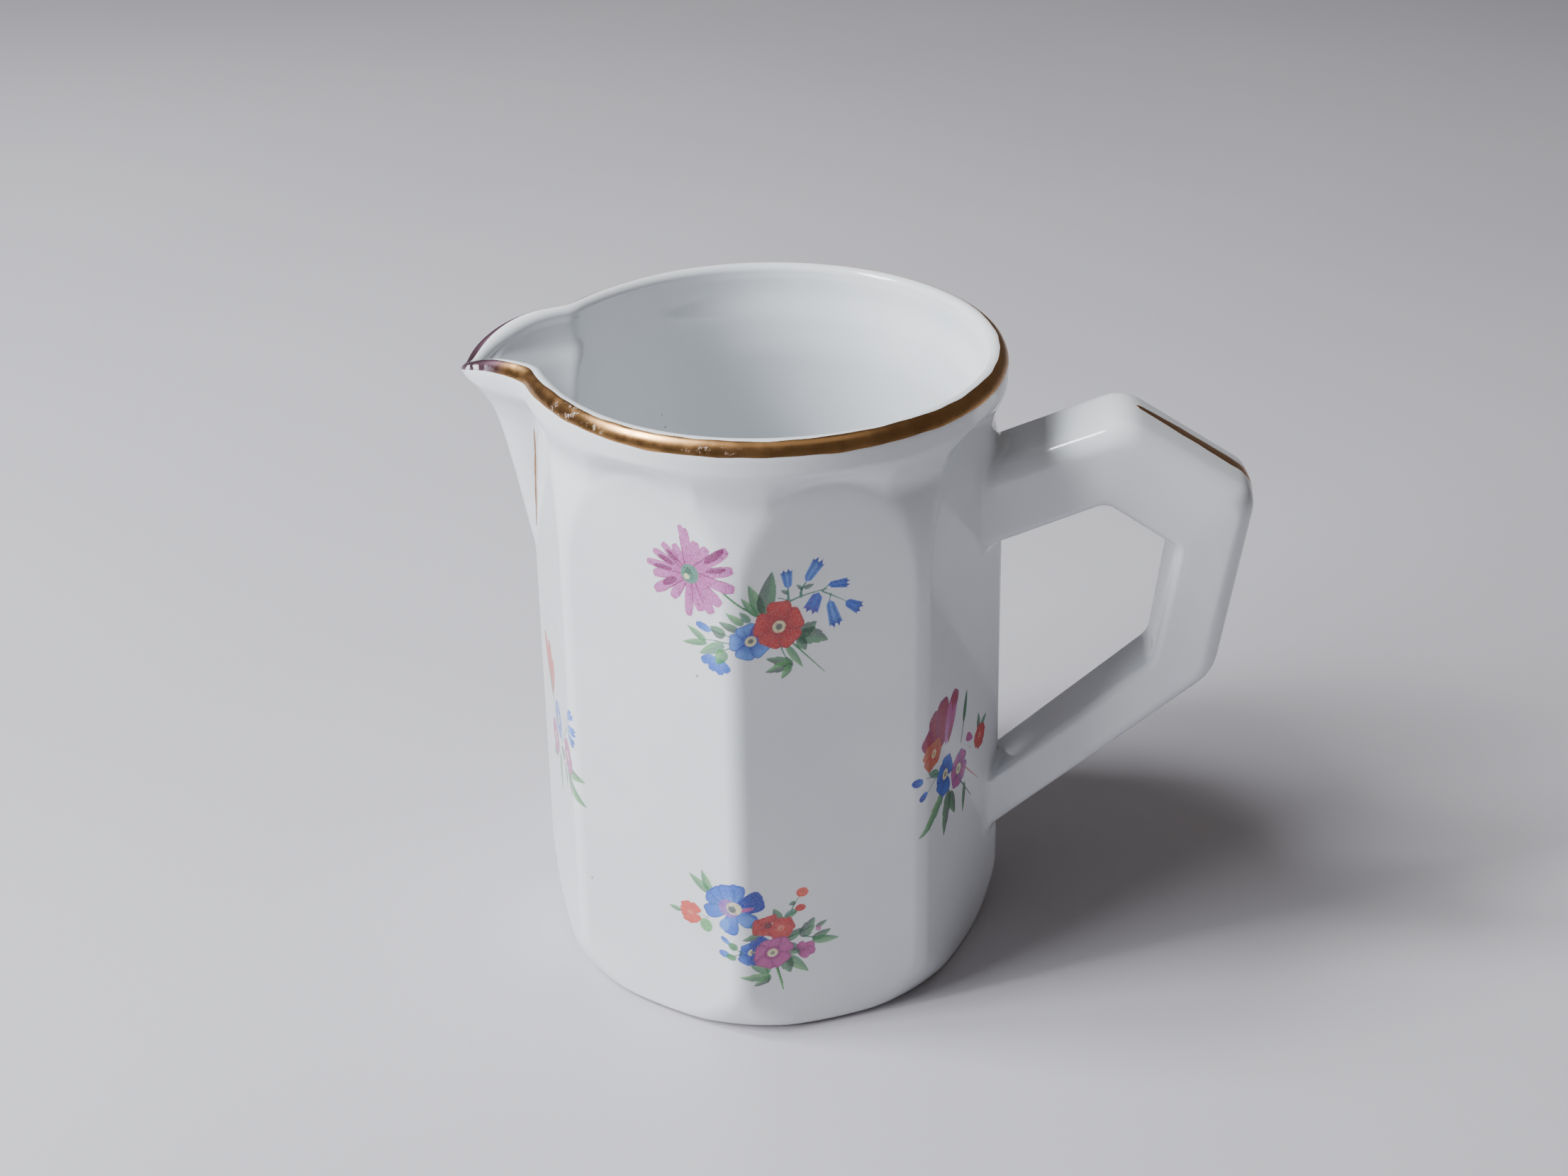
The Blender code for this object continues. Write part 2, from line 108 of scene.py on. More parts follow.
# Handle: inner and outer corners in the XZ plane, half width at each corner
HANDLE_INNER = [(36.5, 72.2), (50.8, 79.0), (61.5, 72.1), (59.7, 51.6), (36.5, 28.5)]
HANDLE_OUTER = [(36.5, 84.8), (52.7, 91.8), (71.9, 80.6), (68.9, 49.7), (36.5, 18.1)]
HANDLE_HALF = [7.4, 7.8, 7.2, 5.6, 5.2]
HANDLE_CROWN = 0.7
INNER_CUT = 1.6
OUTER_CUT = 3.0
FILLET = 1.7
ROOT_RINGS = 4                    # rings at each end that give way to the curved wall
ROOT_DEPTH = 0.9                  # how far the roots run into the wall
STROKE = slice(20, 47)            # rings of the slanted back that carry the gold stroke

# Gold and enamel
FILM = 0.03
CELL = 0.12
WALL_RADIUS = 36.0                # radius that turns a spray's width into an angle
BODY = "root"


# ---------------------------------------------------------------- shape of the body

def smoothstep(t):
    t = np.clip(t, 0.0, 1.0)
    return t * t * (3 - 2 * t)


def mix(a, b, t):
    return a + (b - a) * t


def soft_min(a, b, width):
    h = np.clip(0.5 + 0.5 * (b - a) / width, 0.0, 1.0)
    return mix(b, a, h) - width * h * (1 - h)


def soft_max(a, b, width):
    return -soft_min(-a, -b, width)


def read(rows, z):
    """Smooth curve through a height table, straight beyond its ends."""
    x = np.array([row[0] for row in rows], float)
    y = np.array([row[1] for row in rows], float)
    step = np.diff(x)
    slope = np.diff(y) / step
    tangent = np.zeros_like(y)
    agree = slope[:-1] * slope[1:]
    total = np.where(agree > 0, slope[:-1] + slope[1:], 1.0)
    tangent[1:-1] = np.where(agree > 0, 2 * agree / total, 0.0)
    tangent[0], tangent[-1] = slope[0], slope[-1]
    z = np.asarray(z, float)
    k = np.clip(np.searchsorted(x, z, side="right") - 1, 0, len(x) - 2)
    h = step[k]
    t = np.clip((z - x[k]) / h, 0.0, 1.0)
    inside = ((2 * t ** 3 - 3 * t ** 2 + 1) * y[k] + (t ** 3 - 2 * t ** 2 + t) * h * tangent[k]
              + (3 * t ** 2 - 2 * t ** 3) * y[k + 1] + (t ** 3 - t ** 2) * h * tangent[k + 1])
    below = np.minimum(z - x[0], 0.0) * tangent[0]
    above = np.maximum(z - x[-1], 0.0) * tangent[-1]
    return inside + below + above


def from_arris(theta):
    return np.abs((theta + PANEL_HALF) % (2 * PANEL_HALF) - PANEL_HALF)


def from_beak(theta):
    return (theta + 2 * math.pi) % (2 * math.pi) - math.pi


def octagon(theta, z):
    """Radius of the tapering eight-sided prism with its arrises rounded."""
    away = from_arris(theta)
    vertex = FOOT_VERTEX - TAPER * z
    centre = vertex - ARRIS_RADIUS / math.cos(PANEL_HALF)
    edge = np.arctan2(ARRIS_RADIUS * math.sin(PANEL_HALF),
                      centre + ARRIS_RADIUS * math.cos(PANEL_HALF))
    across = centre * np.sin(away)
    rounded = centre * np.cos(away) + np.sqrt(np.maximum(ARRIS_RADIUS ** 2 - across ** 2, 0))
    flat = vertex * math.cos(PANEL_HALF) / np.cos(PANEL_HALF - away)
    return np.where(away < edge, rounded, flat)


def flare(theta, z):
    """Share of the round rim in the section; it starts above each panel's arch."""
    away = from_arris(theta)
    apothem = (FOOT_VERTEX - TAPER * z) * math.cos(PANEL_HALF)
    along = apothem * np.tan(PANEL_HALF - away)
    arch = ARCH_FOOT + ARCH_RISE * np.sqrt(np.maximum(1 - (along / ARCH_HALF) ** 2, 0.0))
    start = np.maximum(FLARE_START, arch - 1.2)
    return smoothstep((z - start) / (FLARE_TOP - start))


def beak_plan(turn, z, inset):
    """Distance from the axis to the beak's blunt plan outline, `turn` away from -X."""
    nose = read(KEEL, z) - inset
    beam = read(BEAM, z) - inset
    power = read(SQUARENESS, z)
    low = BEAK_ROOT / np.cos(turn)
    high = np.full_like(low, 50.0)
    missed = np.abs(low * np.sin(turn)) > beam
    for _ in range(34):
        middle = (low + high) / 2
        forward = np.maximum((middle * np.cos(turn) - BEAK_ROOT) / (nose - BEAK_ROOT), 0.0)
        side = np.abs(middle * np.sin(turn)) / beam
        outside = forward ** power + side ** power > 1
        high = np.where(outside, middle, high)
        low = np.where(outside, low, middle)
    beside = beam / np.maximum(np.abs(np.sin(turn)), 0.02)
    return np.where(missed, beside, low)


def waist(theta):
    """How far the rim is drawn in by the pull of the beak beside it."""
    away = (np.abs(from_beak(theta)) - WAIST_TURN) / WAIST_SPREAD
    return WAIST * np.exp(-away ** 2)


def add_beak(r, theta, z, inset, start, height, blend):
    """Join the beak to a wall radius, growing over `height` above `start`."""
    turn = from_beak(theta)
    near = (np.abs(turn) < BEAK_REACH) & (z > start)
    if not near.any():
        return r
    plan = beak_plan(turn[near], z[near], inset)
    wall = r[near]
    joined = soft_max(wall, plan, np.broadcast_to(blend, z.shape)[near])
    r = r.copy()
    r[near] = mix(wall, joined, smoothstep((z[near] - start) / height))
    return r


def paired(theta, z):
    """Angles and heights as two arrays of one shape."""
    return np.broadcast_arrays(np.atleast_1d(theta), np.atleast_1d(np.asarray(z, float)))


def outer_radius(theta, z):
    theta, z = paired(theta, z)
    r = soft_min(octagon(theta, z), read(NECK, z), ARCH_SOFTNESS)
    r = soft_min(r, read(FOOT, z), 0.7)
    r = mix(r, RIM_RADIUS - waist(theta), flare(theta, z))
    return add_beak(r, theta, z, 0.0, BEAK_START, BEAK_GROWTH, read(BEAK_BLEND, z))


def inner_radius(theta, z):
    theta, z = paired(theta, z)
    r = read(CAVITY, z) - waist(theta) * smoothstep((z - 82.0) / 14.0)
    return add_beak(r, theta, z, WALL, CHANNEL_START, CHANNEL_GROWTH, CHANNEL_BLEND)


def crest(theta):
    """Height of the lip, which falls towards the tip of the beak."""
    forward = -outer_radius(theta, 97.0) * np.cos(theta)
    return HEIGHT - BEAK_DROP * np.maximum((forward - 33.0) / 12.3, 0.0) ** 3.2


def fit_height(theta, z):
    """Move a height drawn on the plain rim down with the dipping beak."""
    lowered = mix(SHOULDER, crest(theta), (z - SHOULDER) / (HEIGHT - SHOULDER))
    return np.where(z < SHOULDER, z, lowered)


def lip_drop(theta):
    """Height of the lip's rounded outer edge, which sharpens along the beak."""
    share = smoothstep((math.radians(17.0) - np.abs(from_beak(theta))) / math.radians(13.0))
    return mix(LIP_DROP, TIP_DROP, share)


def lip_facts(theta):
    """Crest, foot of the outer rounding, outer and inner radius, outward share."""
    top = crest(theta)
    high = HEIGHT - lip_drop(theta)
    low = fit_height(theta, high)
    out = outer_radius(theta, low)
    inside = inner_radius(theta, top)
    over = (out - inside) * LIP_OUT / WALL
    return top, low, out, inside, over


def directions():
    """Angles round the jug, closer on the arrises and across the beak."""
    base = np.arange(0.0, 360.0, 1.0)
    fine = np.arange(-5.0, 5.01, 0.4)
    arrises = [(45.0 * k + fine) % 360.0 for k in range(8)]
    beak = np.arange(156.0, 204.01, 0.4)
    return np.radians(np.unique(np.round(np.concatenate([base, *arrises, beak]), 2)))


# ---------------------------------------------------------------- meshes

def place(theta, r, z):
    return np.stack([r * np.cos(theta), r * np.sin(theta), z], axis=-1)


def make_piece(name, points, faces, material, nodes, sharp=None):
    """A finished piece in place of CAD nodes, from points about the body's axis."""
    world = np.asarray(points, float) * MM
    world[:, 0] += AXIS_X
    mesh = bpy.data.meshes.new(name)
    mesh.from_pydata(world.tolist(), [], faces)
    mesh.update()
    mesh.shade_smooth()
    if sharp is not None:
        mesh.set_sharp_from_angle(angle=math.radians(sharp))
    mesh.materials.append(material)
    piece = bpy.data.objects.new(name, mesh)
    bpy.context.scene.collection.objects.link(piece)
    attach(piece, BODY)
    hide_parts(*nodes)
    return piece


def grid_faces(columns, rows, closed_columns, closed_rows):
    """Quads over a grid whose points are stored column by column."""
    faces = []
    for c in range(columns if closed_columns else columns - 1):
        a = c * rows
        b = ((c + 1) % columns) * rows
        for r in range(rows if closed_rows else rows - 1):
            n = (r + 1) % rows
            faces.append((a + r, b + r, b + n, a + n))
    return faces


def body_profile(theta):
    """Radius and height of one column, from under the foot over the lip to the floor."""
    top, low, out, inside, over = lip_facts(theta)
    count = len(theta)
    radii, heights = [], []

    def add(r, z):
        radii.append(np.broadcast_to(r, count))
        heights.append(np.broadcast_to(z, count))

    for r, z in FOOT_RING:
        add(r, z)
    ring_out = outer_radius(theta, 0.0) - FOOT_EDGE
    add(mix(FOOT_RING[-1][0], ring_out, 0.5), 0.0)
    for angle in np.radians(np.arange(0.0, 90.0, 15.0)):
        add(ring_out + FOOT_EDGE * np.sin(angle), FOOT_EDGE * (1 - np.cos(angle)))
    plain = np.concatenate([np.arange(FOOT_EDGE, 6.0, 0.4), np.arange(6.0, SHOULDER, 1.0)])
    for z in plain:
        add(outer_radius(theta, z), z)
    for share in np.linspace(0.0, 1.0, 142):
        z = fit_height(theta, mix(SHOULDER, HEIGHT - lip_drop(theta), share))
        add(outer_radius(theta, z), z)
    for angle in np.radians(np.arange(6.0, 90.1, 6.0)):
        add(out - over + over * np.cos(angle), low + (top - low) * np.sin(angle))
    back = out - over - inside
    for angle in np.radians(np.arange(9.0, 90.1, 9.0)):
        add(inside + back * (1 - np.sin(angle)), top - LIP_BACK_DROP * (1 - np.cos(angle)))
    inner = np.concatenate([np.arange(98.2, 74.0, -0.5), np.arange(74.0, CAVITY_FOOT, -2.0)])
    for z in inner:
        fitted = fit_height(theta, z)
        add(inner_radius(theta, fitted), fitted)
    foot = inner_radius(theta, CAVITY_FOOT)
    for angle in np.radians(np.arange(0.0, 90.1, 7.5)):
        add(mix(FLOOR_RADIUS, foot, np.cos(angle)), mix(CAVITY_FOOT, FLOOR, np.sin(angle)))
    add(14.0, FLOOR)
    add(5.0, FLOOR)
    return np.stack(radii, axis=1), np.stack(heights, axis=1)


def make_body(material):
    theta = directions()
    r, z = body_profile(theta)
    columns, rows = r.shape
    points = place(theta[:, None], r, z).reshape(-1, 3)
    faces = grid_faces(columns, rows, True, False)
    under, floor = len(points), len(points) + 1
    points = np.vstack([points, [[0, 0, FOOT_RECESS], [0, 0, FLOOR]]])
    for c in range(columns):
        a = c * rows
        b = ((c + 1) % columns) * rows
        faces.append((under, b, a))
        faces.append((floor, a + rows - 1, b + rows - 1))
    make_piece("glazed_jug_body", points, faces, material, ["jug_body"])


# ---------------------------------------------------------------- handle

def rounded_line(corners, cut, straight, bend):
    """Points along a line of corners, with each inner corner drawn as a short curve."""
    corners = [np.array(c, float) for c in corners]
    line = []
    here = corners[0]
    for before, corner, after in zip(corners, corners[1:], corners[2:]):
        start = corner + (before - corner) * cut / np.linalg.norm((before - corner)[:2])
        end = corner + (after - corner) * cut / np.linalg.norm((after - corner)[:2])
        line += [mix(here, start, t) for t in np.linspace(0, 1, straight, endpoint=False)]
        for t in np.linspace(0, 1, bend, endpoint=False):
            line.append(mix(mix(start, corner, t), mix(corner, end, t), t))
        here = end
    line += [mix(here, corners[-1], t) for t in np.linspace(0, 1, straight)]
    return np.array(line)


def section_profile(half, depth):
    """Across and rise of the handle's section: rounded edges and a crowned back."""
    toe = 0.24 * half
    shoulder = 0.40 * half
    side = []
    for a in np.radians(np.arange(0.0, 90.1, 11.25)):
        side.append((half - toe * (1 - math.sin(a)), toe * (1 - math.cos(a))))
    for t in (0.25, 0.5, 0.75):
        side.append((half, mix(toe, depth - shoulder, t)))
    for a in np.radians(np.arange(0.0, 90.1, 9.0)):
        side.append((half - shoulder * (1 - math.cos(a)), depth - shoulder * (1 - math.sin(a))))
    flat = half - shoulder
    for t in (0.8, 0.6, 0.4, 0.2):
        side.append((flat * t, depth))
    side = [(across, rise + crown_at(across, half) * smoothstep(rise / depth * 4 - 3))
            for across, rise in side]
    other = [(-across, rise) for across, rise in reversed(side)]
    under = half - toe
    inner = [(under * t, 0.0) for t in (-0.6, -0.2, 0.2, 0.6)]
    return side + [(0.0, depth + HANDLE_CROWN)] + other + inner


def crown_at(across, half):
    return HANDLE_CROWN * max(1 - (across / half) ** 2, 0.0)


def handle_rings():
    """One ring of points for each station along the handle."""
    inner = rounded_line(HANDLE_INNER, INNER_CUT, 12, 10)
    outer = rounded_line([(x, z, w) for (x, z), w in zip(HANDLE_OUTER, HANDLE_HALF)],
                         OUTER_CUT, 12, 10)
    rings = []
    for low, high in zip(inner, outer):
        depth = math.dist(low, high[:2])
        profile = np.array(section_profile(high[2], depth))
        share = profile[:, 1] / depth
        x = mix(low[0], high[0], share)
        z = mix(low[1], high[1], share)
        rings.append(np.stack([x, profile[:, 0], z], axis=1))
    return rings


def land(points, ways, gap):
    """Slide points along their ways until they are `gap` outside the body."""
    low = np.zeros(len(points))
    high = np.full(len(points), 30.0)
    for _ in range(32):
        middle = (low + high) / 2
        p = points + ways * middle[:, None]
        clear = np.hypot(p[:, 0], p[:, 1]) - gap
        clear = clear - outer_radius(np.arctan2(p[:, 1], p[:, 0]), p[:, 2])
        low = np.where(clear > 0, middle, low)
        high = np.where(clear > 0, high, middle)
    return points + ways * low[:, None]


def root_facts(rings, end):
    """Section a little way out from a root, the ways into the body, and outward normals."""
    first, second = (0, ROOT_RINGS) if end == "upper" else (-1, -1 - ROOT_RINGS)
    free = rings[second]
    ways = rings[first] - free
    ways = ways / np.linalg.norm(ways, axis=1)[:, None]
    along = np.roll(free, -1, axis=0) - np.roll(free, 1, axis=0)
    normal = np.cross(along, ways)
    normal = normal / np.linalg.norm(normal, axis=1)[:, None]
    away = free - free.mean(axis=0)
    normal = normal * np.sign((normal * away).sum(axis=1))[:, None]
    return free, ways, normal


def make_handle(material, rings):
    upper_free, upper_ways, _ = root_facts(rings, "upper")
    lower_free, lower_ways, _ = root_facts(rings, "lower")
    kept = [land(upper_free, upper_ways, -ROOT_DEPTH)] + rings[ROOT_RINGS:-ROOT_RINGS]
    kept.append(land(lower_free, lower_ways, -ROOT_DEPTH))
    size = len(rings[0])
    points = np.vstack(kept + [kept[0].mean(axis=0)[None], kept[-1].mean(axis=0)[None]])
    faces = [tuple(reversed(face)) for face in grid_faces(len(kept), size, False, True)]
    start, end = len(points) - 2, len(points) - 1
    last = (len(kept) - 1) * size
    for k in range(size):
        n = (k + 1) % size
        faces.append((start, n, k))
        faces.append((end, last + k, last + n))
    make_piece("glazed_handle", points, faces, material, ["handle"], 70)


def make_fillet(name, material, rings, end, node):
    """Ring of slip that runs smoothly from the wall on to the handle's root."""
    free, ways, normal = root_facts(rings, end)
    root = land(free, ways, 0.0)
    on_handle = root - ways * FILLET
    on_wall = land(free + normal * FILLET, ways, 0.0)
    outward = on_wall * [1, 1, 0]
    outward = outward / np.linalg.norm(outward, axis=1)[:, None]
    loops = [on_wall - outward * 0.5]
    for t in np.linspace(0.0, 1.0, 11):
        loops.append((1 - t) ** 2 * on_wall + 2 * t * (1 - t) * root + t ** 2 * on_handle)
    loops.append(on_handle - normal * 0.5)
    loops.append(root - normal * 0.5 + ways * 0.5)
    size = len(free)
    faces = grid_faces(len(loops), size, True, True)
    if end == "upper":
        faces = [tuple(reversed(face)) for face in faces]
    make_piece(name, np.vstack(loops), faces, material, [node], 60)


# ---------------------------------------------------------------- gold

def ripple(angle, seed):
    """A gentle hand-drawn waver between about -1 and 1."""
    total = np.zeros_like(angle)
    for k, turns in enumerate((5, 9, 16, 27, 44)):
        total = total + np.sin(turns * angle + seed * (k + 1.7)) / (1.3 + 0.6 * k)
    return total / 1.6


def set_paint(piece, name, values):
    """Store a colour for each point of a piece."""
    layer = piece.data.color_attributes.new(name, "FLOAT_COLOR", "POINT")
    layer.data.foreach_set("color", np.asarray(values, np.float32).ravel())


def make_rim_gilding(material):
    """Gold band over the outer edge of the lip, thin and worn, all round the mouth."""
    theta = directions()
    top, low, out, _, over = lip_facts(theta)
    near_tip = smoothstep((math.radians(16.0) - np.abs(from_beak(theta))) / math.radians(8.0))
    lower = np.radians(mix(16.0, 4.0, near_tip) + 3.5 * ripple(theta, 1.0))
    upper = np.radians(76.0 + 5.0 * ripple(theta, 4.0))
    radii, heights, shares = [], [], []
    steps = 22
    for k in range(steps + 1):
        a = mix(lower, upper, k / steps)
        radii.append(out - over + (over + FILM) * np.cos(a))
        heights.append(low + (top - low + FILM) * np.sin(a))
        shares.append(k / steps)
    radii += [radii[-1] - 0.01, radii[0] - 0.07]
    heights += [heights[-1] - 0.08, heights[0] - 0.04]
    shares += [1.0, 0.0]
    r = np.stack(radii, axis=1)
    z = np.stack(heights, axis=1)
    columns, rows = r.shape
    points = place(theta[:, None], r, z).reshape(-1, 3)
    faces = grid_faces(columns, rows, True, True)
    piece = make_piece("worn_rim_gilding", points, faces, material, ["rim_gilding"],
                       60)
    turn = np.degrees(from_beak(theta))
    lustre = smoothstep((18.5 - np.abs(turn)) / 4.0)
    bare = np.exp(-((turn - 10.5) / 3.2) ** 2)
    scratched = np.exp(-((turn - 87.0) / 5.0) ** 2) + 0.6 * np.exp(-((turn - 58.0) / 4.0) ** 2)
    paint = np.zeros((columns, rows, 4))
    paint[..., 0] = lustre[:, None]
    paint[..., 1] = np.array(shares)[None, :]
    paint[..., 2] = bare[:, None]
    paint[..., 3] = scratched[:, None]
    set_paint(piece, "finish", paint.reshape(-1, 4))


def make_ribbon(name, loops, material, node, lustre, mirrored):
    """Closed strip of gold from the lines of points that run along it."""
    points = np.stack(loops, axis=1).reshape(-1, 3)
    rows = len(loops)
    faces = grid_faces(len(loops[0]), rows, False, True)
    faces.append(tuple(range(rows)))
    faces.append(tuple(range(len(points) - 1, len(points) - 1 - rows, -1)))
    if mirrored:
        faces = [tuple(reversed(face)) for face in faces]
    piece = make_piece(name, points, faces, material, [node])
    set_paint(piece, "finish", np.tile([lustre, 0.5, 0.0, 0.0], (len(points), 1)))


def make_handle_gilding(material, rings):
    """Brushed gold stroke on the back of the handle's slanted segment."""
    spine = np.array([ring[find_crown(ring)] for ring in rings])
    spine = spine[STROKE]
    along = np.gradient(spine, axis=0)
    along = along / np.linalg.norm(along, axis=1)[:, None]
    lift = np.cross(along, [0.0, 1.0, 0.0])
    lift = lift * np.sign((lift * (spine - [50.0, 0.0, 60.0])).sum(axis=1))[:, None]
    share = np.linspace(0.0, 1.0, len(spine))
    half = 1.35 * np.sqrt(np.maximum(np.sin(math.pi * share), 0.0)) + 0.03
    half = half * (1 + 0.07 * np.sin(31 * share) + 0.05 * np.sin(53 * share))
    drift = 0.55 + 0.25 * np.sin(5 * share + 0.4)
    loops = []
    for across, film in ((-1, -0.02), (-0.95, FILM), (-0.6, FILM), (-0.2, FILM), (0.2, FILM),
                         (0.6, FILM), (0.95, FILM), (1, -0.02), (0.4, -0.08), (-0.4, -0.08)):
        shift = drift + half * across
        drop = HANDLE_CROWN * (shift / 7.2) ** 2
        loops.append(spine + lift * (film - drop)[:, None] + shift[:, None] * [0, 1, 0])
    make_ribbon("worn_handle_gilding", loops, material, "handle_gilding", 0.0, False)


def find_crown(ring):
    """Index of the point at the middle of the outer face."""
    return int(np.argmax(np.abs(ring[:, 1]) < 1e-6))


def crease_turn(z):
    """Angle between the beak's centre line and the crease beside it."""
    turns = np.radians(np.arange(5.0, 19.0, 0.05))
    heights = np.full_like(turns, z)
    wall = soft_min(octagon(math.pi + turns, heights), read(NECK, heights), ARCH_SOFTNESS)
    wall = mix(wall, RIM_RADIUS, flare(math.pi + turns, heights))
    plan = beak_plan(turns, heights, 0.0)
    return turns[np.argmax(plan < wall)]


def make_spout_gilding(name, material, side, node):
    """Fine gold line lying in the crease beside the beak."""
    heights = np.linspace(70.0, 89.0, 60)
    share = np.linspace(0.0, 1.0, 60)
    turn = np.array([crease_turn(z) for z in heights])
    half = 0.2 * np.sqrt(np.maximum(np.sin(math.pi * share), 0.0)) + 0.02
    half = half * (1 + 0.15 * np.sin(23 * share))
    loops = []
    for across, film in ((-1, -0.02), (-0.8, FILM), (0.0, FILM), (0.8, FILM), (1, -0.02),
                         (0.0, -0.1)):
        theta = math.pi + side * (turn + across * half / 37.0)
        loops.append(place(theta, outer_radius(theta, heights) + film, heights))
    make_ribbon(name, loops, material, node, 0.25, side > 0)


# ---------------------------------------------------------------- printed flowers

def ink(red, green, blue):
    """Linear colour of an ink named by its display values."""
    c = np.array([red, green, blue]) / 255.0
    return np.where(c <= 0.04045, c / 12.92, ((c + 0.055) / 1.055) ** 2.4)


PINK = ink(182, 86, 154)
PALE_PINK = ink(196, 112, 176)
MAGENTA = ink(128, 34, 98)
BLUE = ink(58, 108, 206)
PALE_BLUE = ink(96, 146, 224)
DEEP_BLUE = ink(24, 56, 164)
VIOLET = ink(82, 60, 158)
RED = ink(200, 60, 52)
DEEP_RED = ink(166, 36, 40)
ORANGE = ink(216, 88, 70)
PALE_ORANGE = ink(228, 128, 104)
MAUVE = ink(190, 84, 150)
DEEP_MAUVE = ink(136, 40, 106)
CREAM = ink(228, 222, 176)
GREY = ink(104, 108, 100)
GREEN = ink(38, 128, 64)
DARK_GREEN = ink(20, 74, 44)
PALE_GREEN = ink(92, 168, 90)
SEA_GREEN = ink(74, 134, 112)
CRIMSON = ink(164, 34, 74)
BROWN = ink(196, 110, 74)


# Light and dark side of a leaf
FRESH = (PALE_GREEN, GREEN)
SHADY = (GREEN, DARK_GREEN)
BOLD = (PALE_GREEN, DARK_GREEN)
MISTY = (PALE_GREEN, SEA_GREEN)
MILD = (GREEN, SEA_GREEN)
COOL = (SEA_GREEN, DARK_GREEN)
DEEP = (DARK_GREEN, DARK_GREEN)


def polar(centre, angle, length):
    """Point at a length from a centre, in a direction given in degrees."""
    a = math.radians(angle)
    return (centre[0] + length * math.cos(a), centre[1] + length * math.sin(a))


def between(a, b, t):
    return (mix(a[0], b[0], t), mix(a[1], b[1], t))


def each(draw, *rows):
    """Draw one stroke for each row of values."""
    for row in rows:
        draw(*row)


class Transfer:
    """A flower spray on a flat sheet, u across and v up from its middle, in millimetres."""

    def __init__(self, half_u, half_v, seed):
        self.u, self.v = np.meshgrid(np.arange(-half_u, half_u, CELL),
                                     np.arange(-half_v, half_v, CELL), indexing="ij")
        self.colour = np.ones(self.u.shape + (3,))
        self.cover = np.zeros(self.u.shape)
        self.chance = np.random.default_rng(seed)

    def lay(self, colour, cover):
        """Print a colour over what is there."""
        share = cover[..., None]
        self.colour = mix(self.colour, colour, share)
        self.cover = 1 - (1 - self.cover) * (1 - cover)

    def local(self, base, tip):
        """Place along a line as a share of its length, place across it, and the length."""
        reach = math.dist(base, tip)
        du, dv = (tip[0] - base[0]) / reach, (tip[1] - base[1]) / reach
        u, v = self.u - base[0], self.v - base[1]
        return (u * du + v * dv) / reach, v * du - u * dv, reach

    def blade(self, base, tip, width, root=0.5, point=0.5, teeth=0, bend=0.0):
        """Outline of a petal or leaf: its mask, place along, and place across."""
        along, across, reach = self.local(base, tip)
        across = across - bend * reach * 4 * along * (1 - along)
        a = np.clip(along, 0.0, 1.0)
        peak = root / (root + point)
        shape = (a / peak) ** root * ((1 - a) / (1 - peak)) ** point
        if teeth:
            shape = shape * (0.86 + 0.22 * ((a * teeth) % 1.0))
        half = width / 2
        mask = smoothstep((shape * half - np.abs(across)) / 0.14 + 0.5)
        mask = mask * smoothstep(along * reach / 0.1) * smoothstep((1 - along) * reach / 0.1)
        return mask, a, across / (half * np.maximum(shape, 0.05))

    def petal(self, base, tip, width, inner, outer, edge, root=0.8, point=0.35, veins=0.0):
        mask, along, across = self.blade(base, tip, width, root, point)
        colour = mix(inner, outer, smoothstep(along * 1.2)[..., None])
        rim = smoothstep((np.abs(across) - 0.62) / 0.4) + smoothstep((along - 0.86) / 0.14)
        colour = mix(colour, edge, (0.75 * np.clip(rim, 0, 1))[..., None])
        if veins:
            lines = smoothstep(np.sin(across * 7.0) * 1.6 - 0.5) * smoothstep(1.1 - along)
            colour = mix(colour, edge, (veins * lines)[..., None])
        self.lay(colour, mask)

    def leaf(self, base, tip, width, tones=FRESH, teeth=0, bend=0.0):
        light, dark = tones
        mask, along, across = self.blade(base, tip, width, 0.55, 0.95, teeth, bend)
        colour = mix(light, dark, smoothstep(0.5 + across * 0.9)[..., None])
        colour = mix(colour, dark, (0.5 * smoothstep(1 - along * 1.6))[..., None])
        rib = smoothstep(1 - np.abs(across) * 6) * smoothstep(1.2 - along)
        colour = mix(colour, DARK_GREEN, (0.45 * rib)[..., None])
        self.lay(colour, 0.93 * mask)

    def stem(self, points, width, colour=GREEN):
        """A line through three or more points, thinner towards its end."""
        line = np.array(points, float)
        share = np.linspace(0, 1, len(line))
        fine = np.linspace(0, 1, 26)
        if len(line) == 3:
            a, b, c = line
            b = 2 * b - (a + c) / 2
            curve = [(1 - t) ** 2 * a + 2 * t * (1 - t) * b + t * t * c for t in fine]
            line = np.array(curve)
        else:
            line = np.stack([np.interp(fine, share, line[:, k]) for k in (0, 1)], axis=1)
        near = np.full(self.u.shape, 1e9)
        place_on = np.zeros(self.u.shape)
        for k, (p, q) in enumerate(zip(line, line[1:])):
            reach = max(math.dist(p, q), 1e-6)
            along, across, _ = self.local(p, q)
            t = np.clip(along, 0, 1)
            gap = np.hypot(across, (along - t) * reach)
            place_on = np.where(gap < near, (k + t) / (len(line) - 1), place_on)
            near = np.minimum(near, gap)
        half = width * mix(0.55, 0.3, place_on)
        self.lay(colour, smoothstep((half - near) / 0.12 + 0.5))

    def disc(self, centre, radius, colour, strength=1.0, squash=1.0):
        gap = np.hypot(self.u - centre[0], (self.v - centre[1]) / squash)
        self.lay(colour, strength * smoothstep((radius - gap) / 0.14 + 0.5))

    def ring(self, centre, radius, half, colour, strength=1.0):
        gap = np.abs(np.hypot(self.u - centre[0], self.v - centre[1]) - radius)
        self.lay(colour, strength * smoothstep((half - gap) / 0.14 + 0.5))

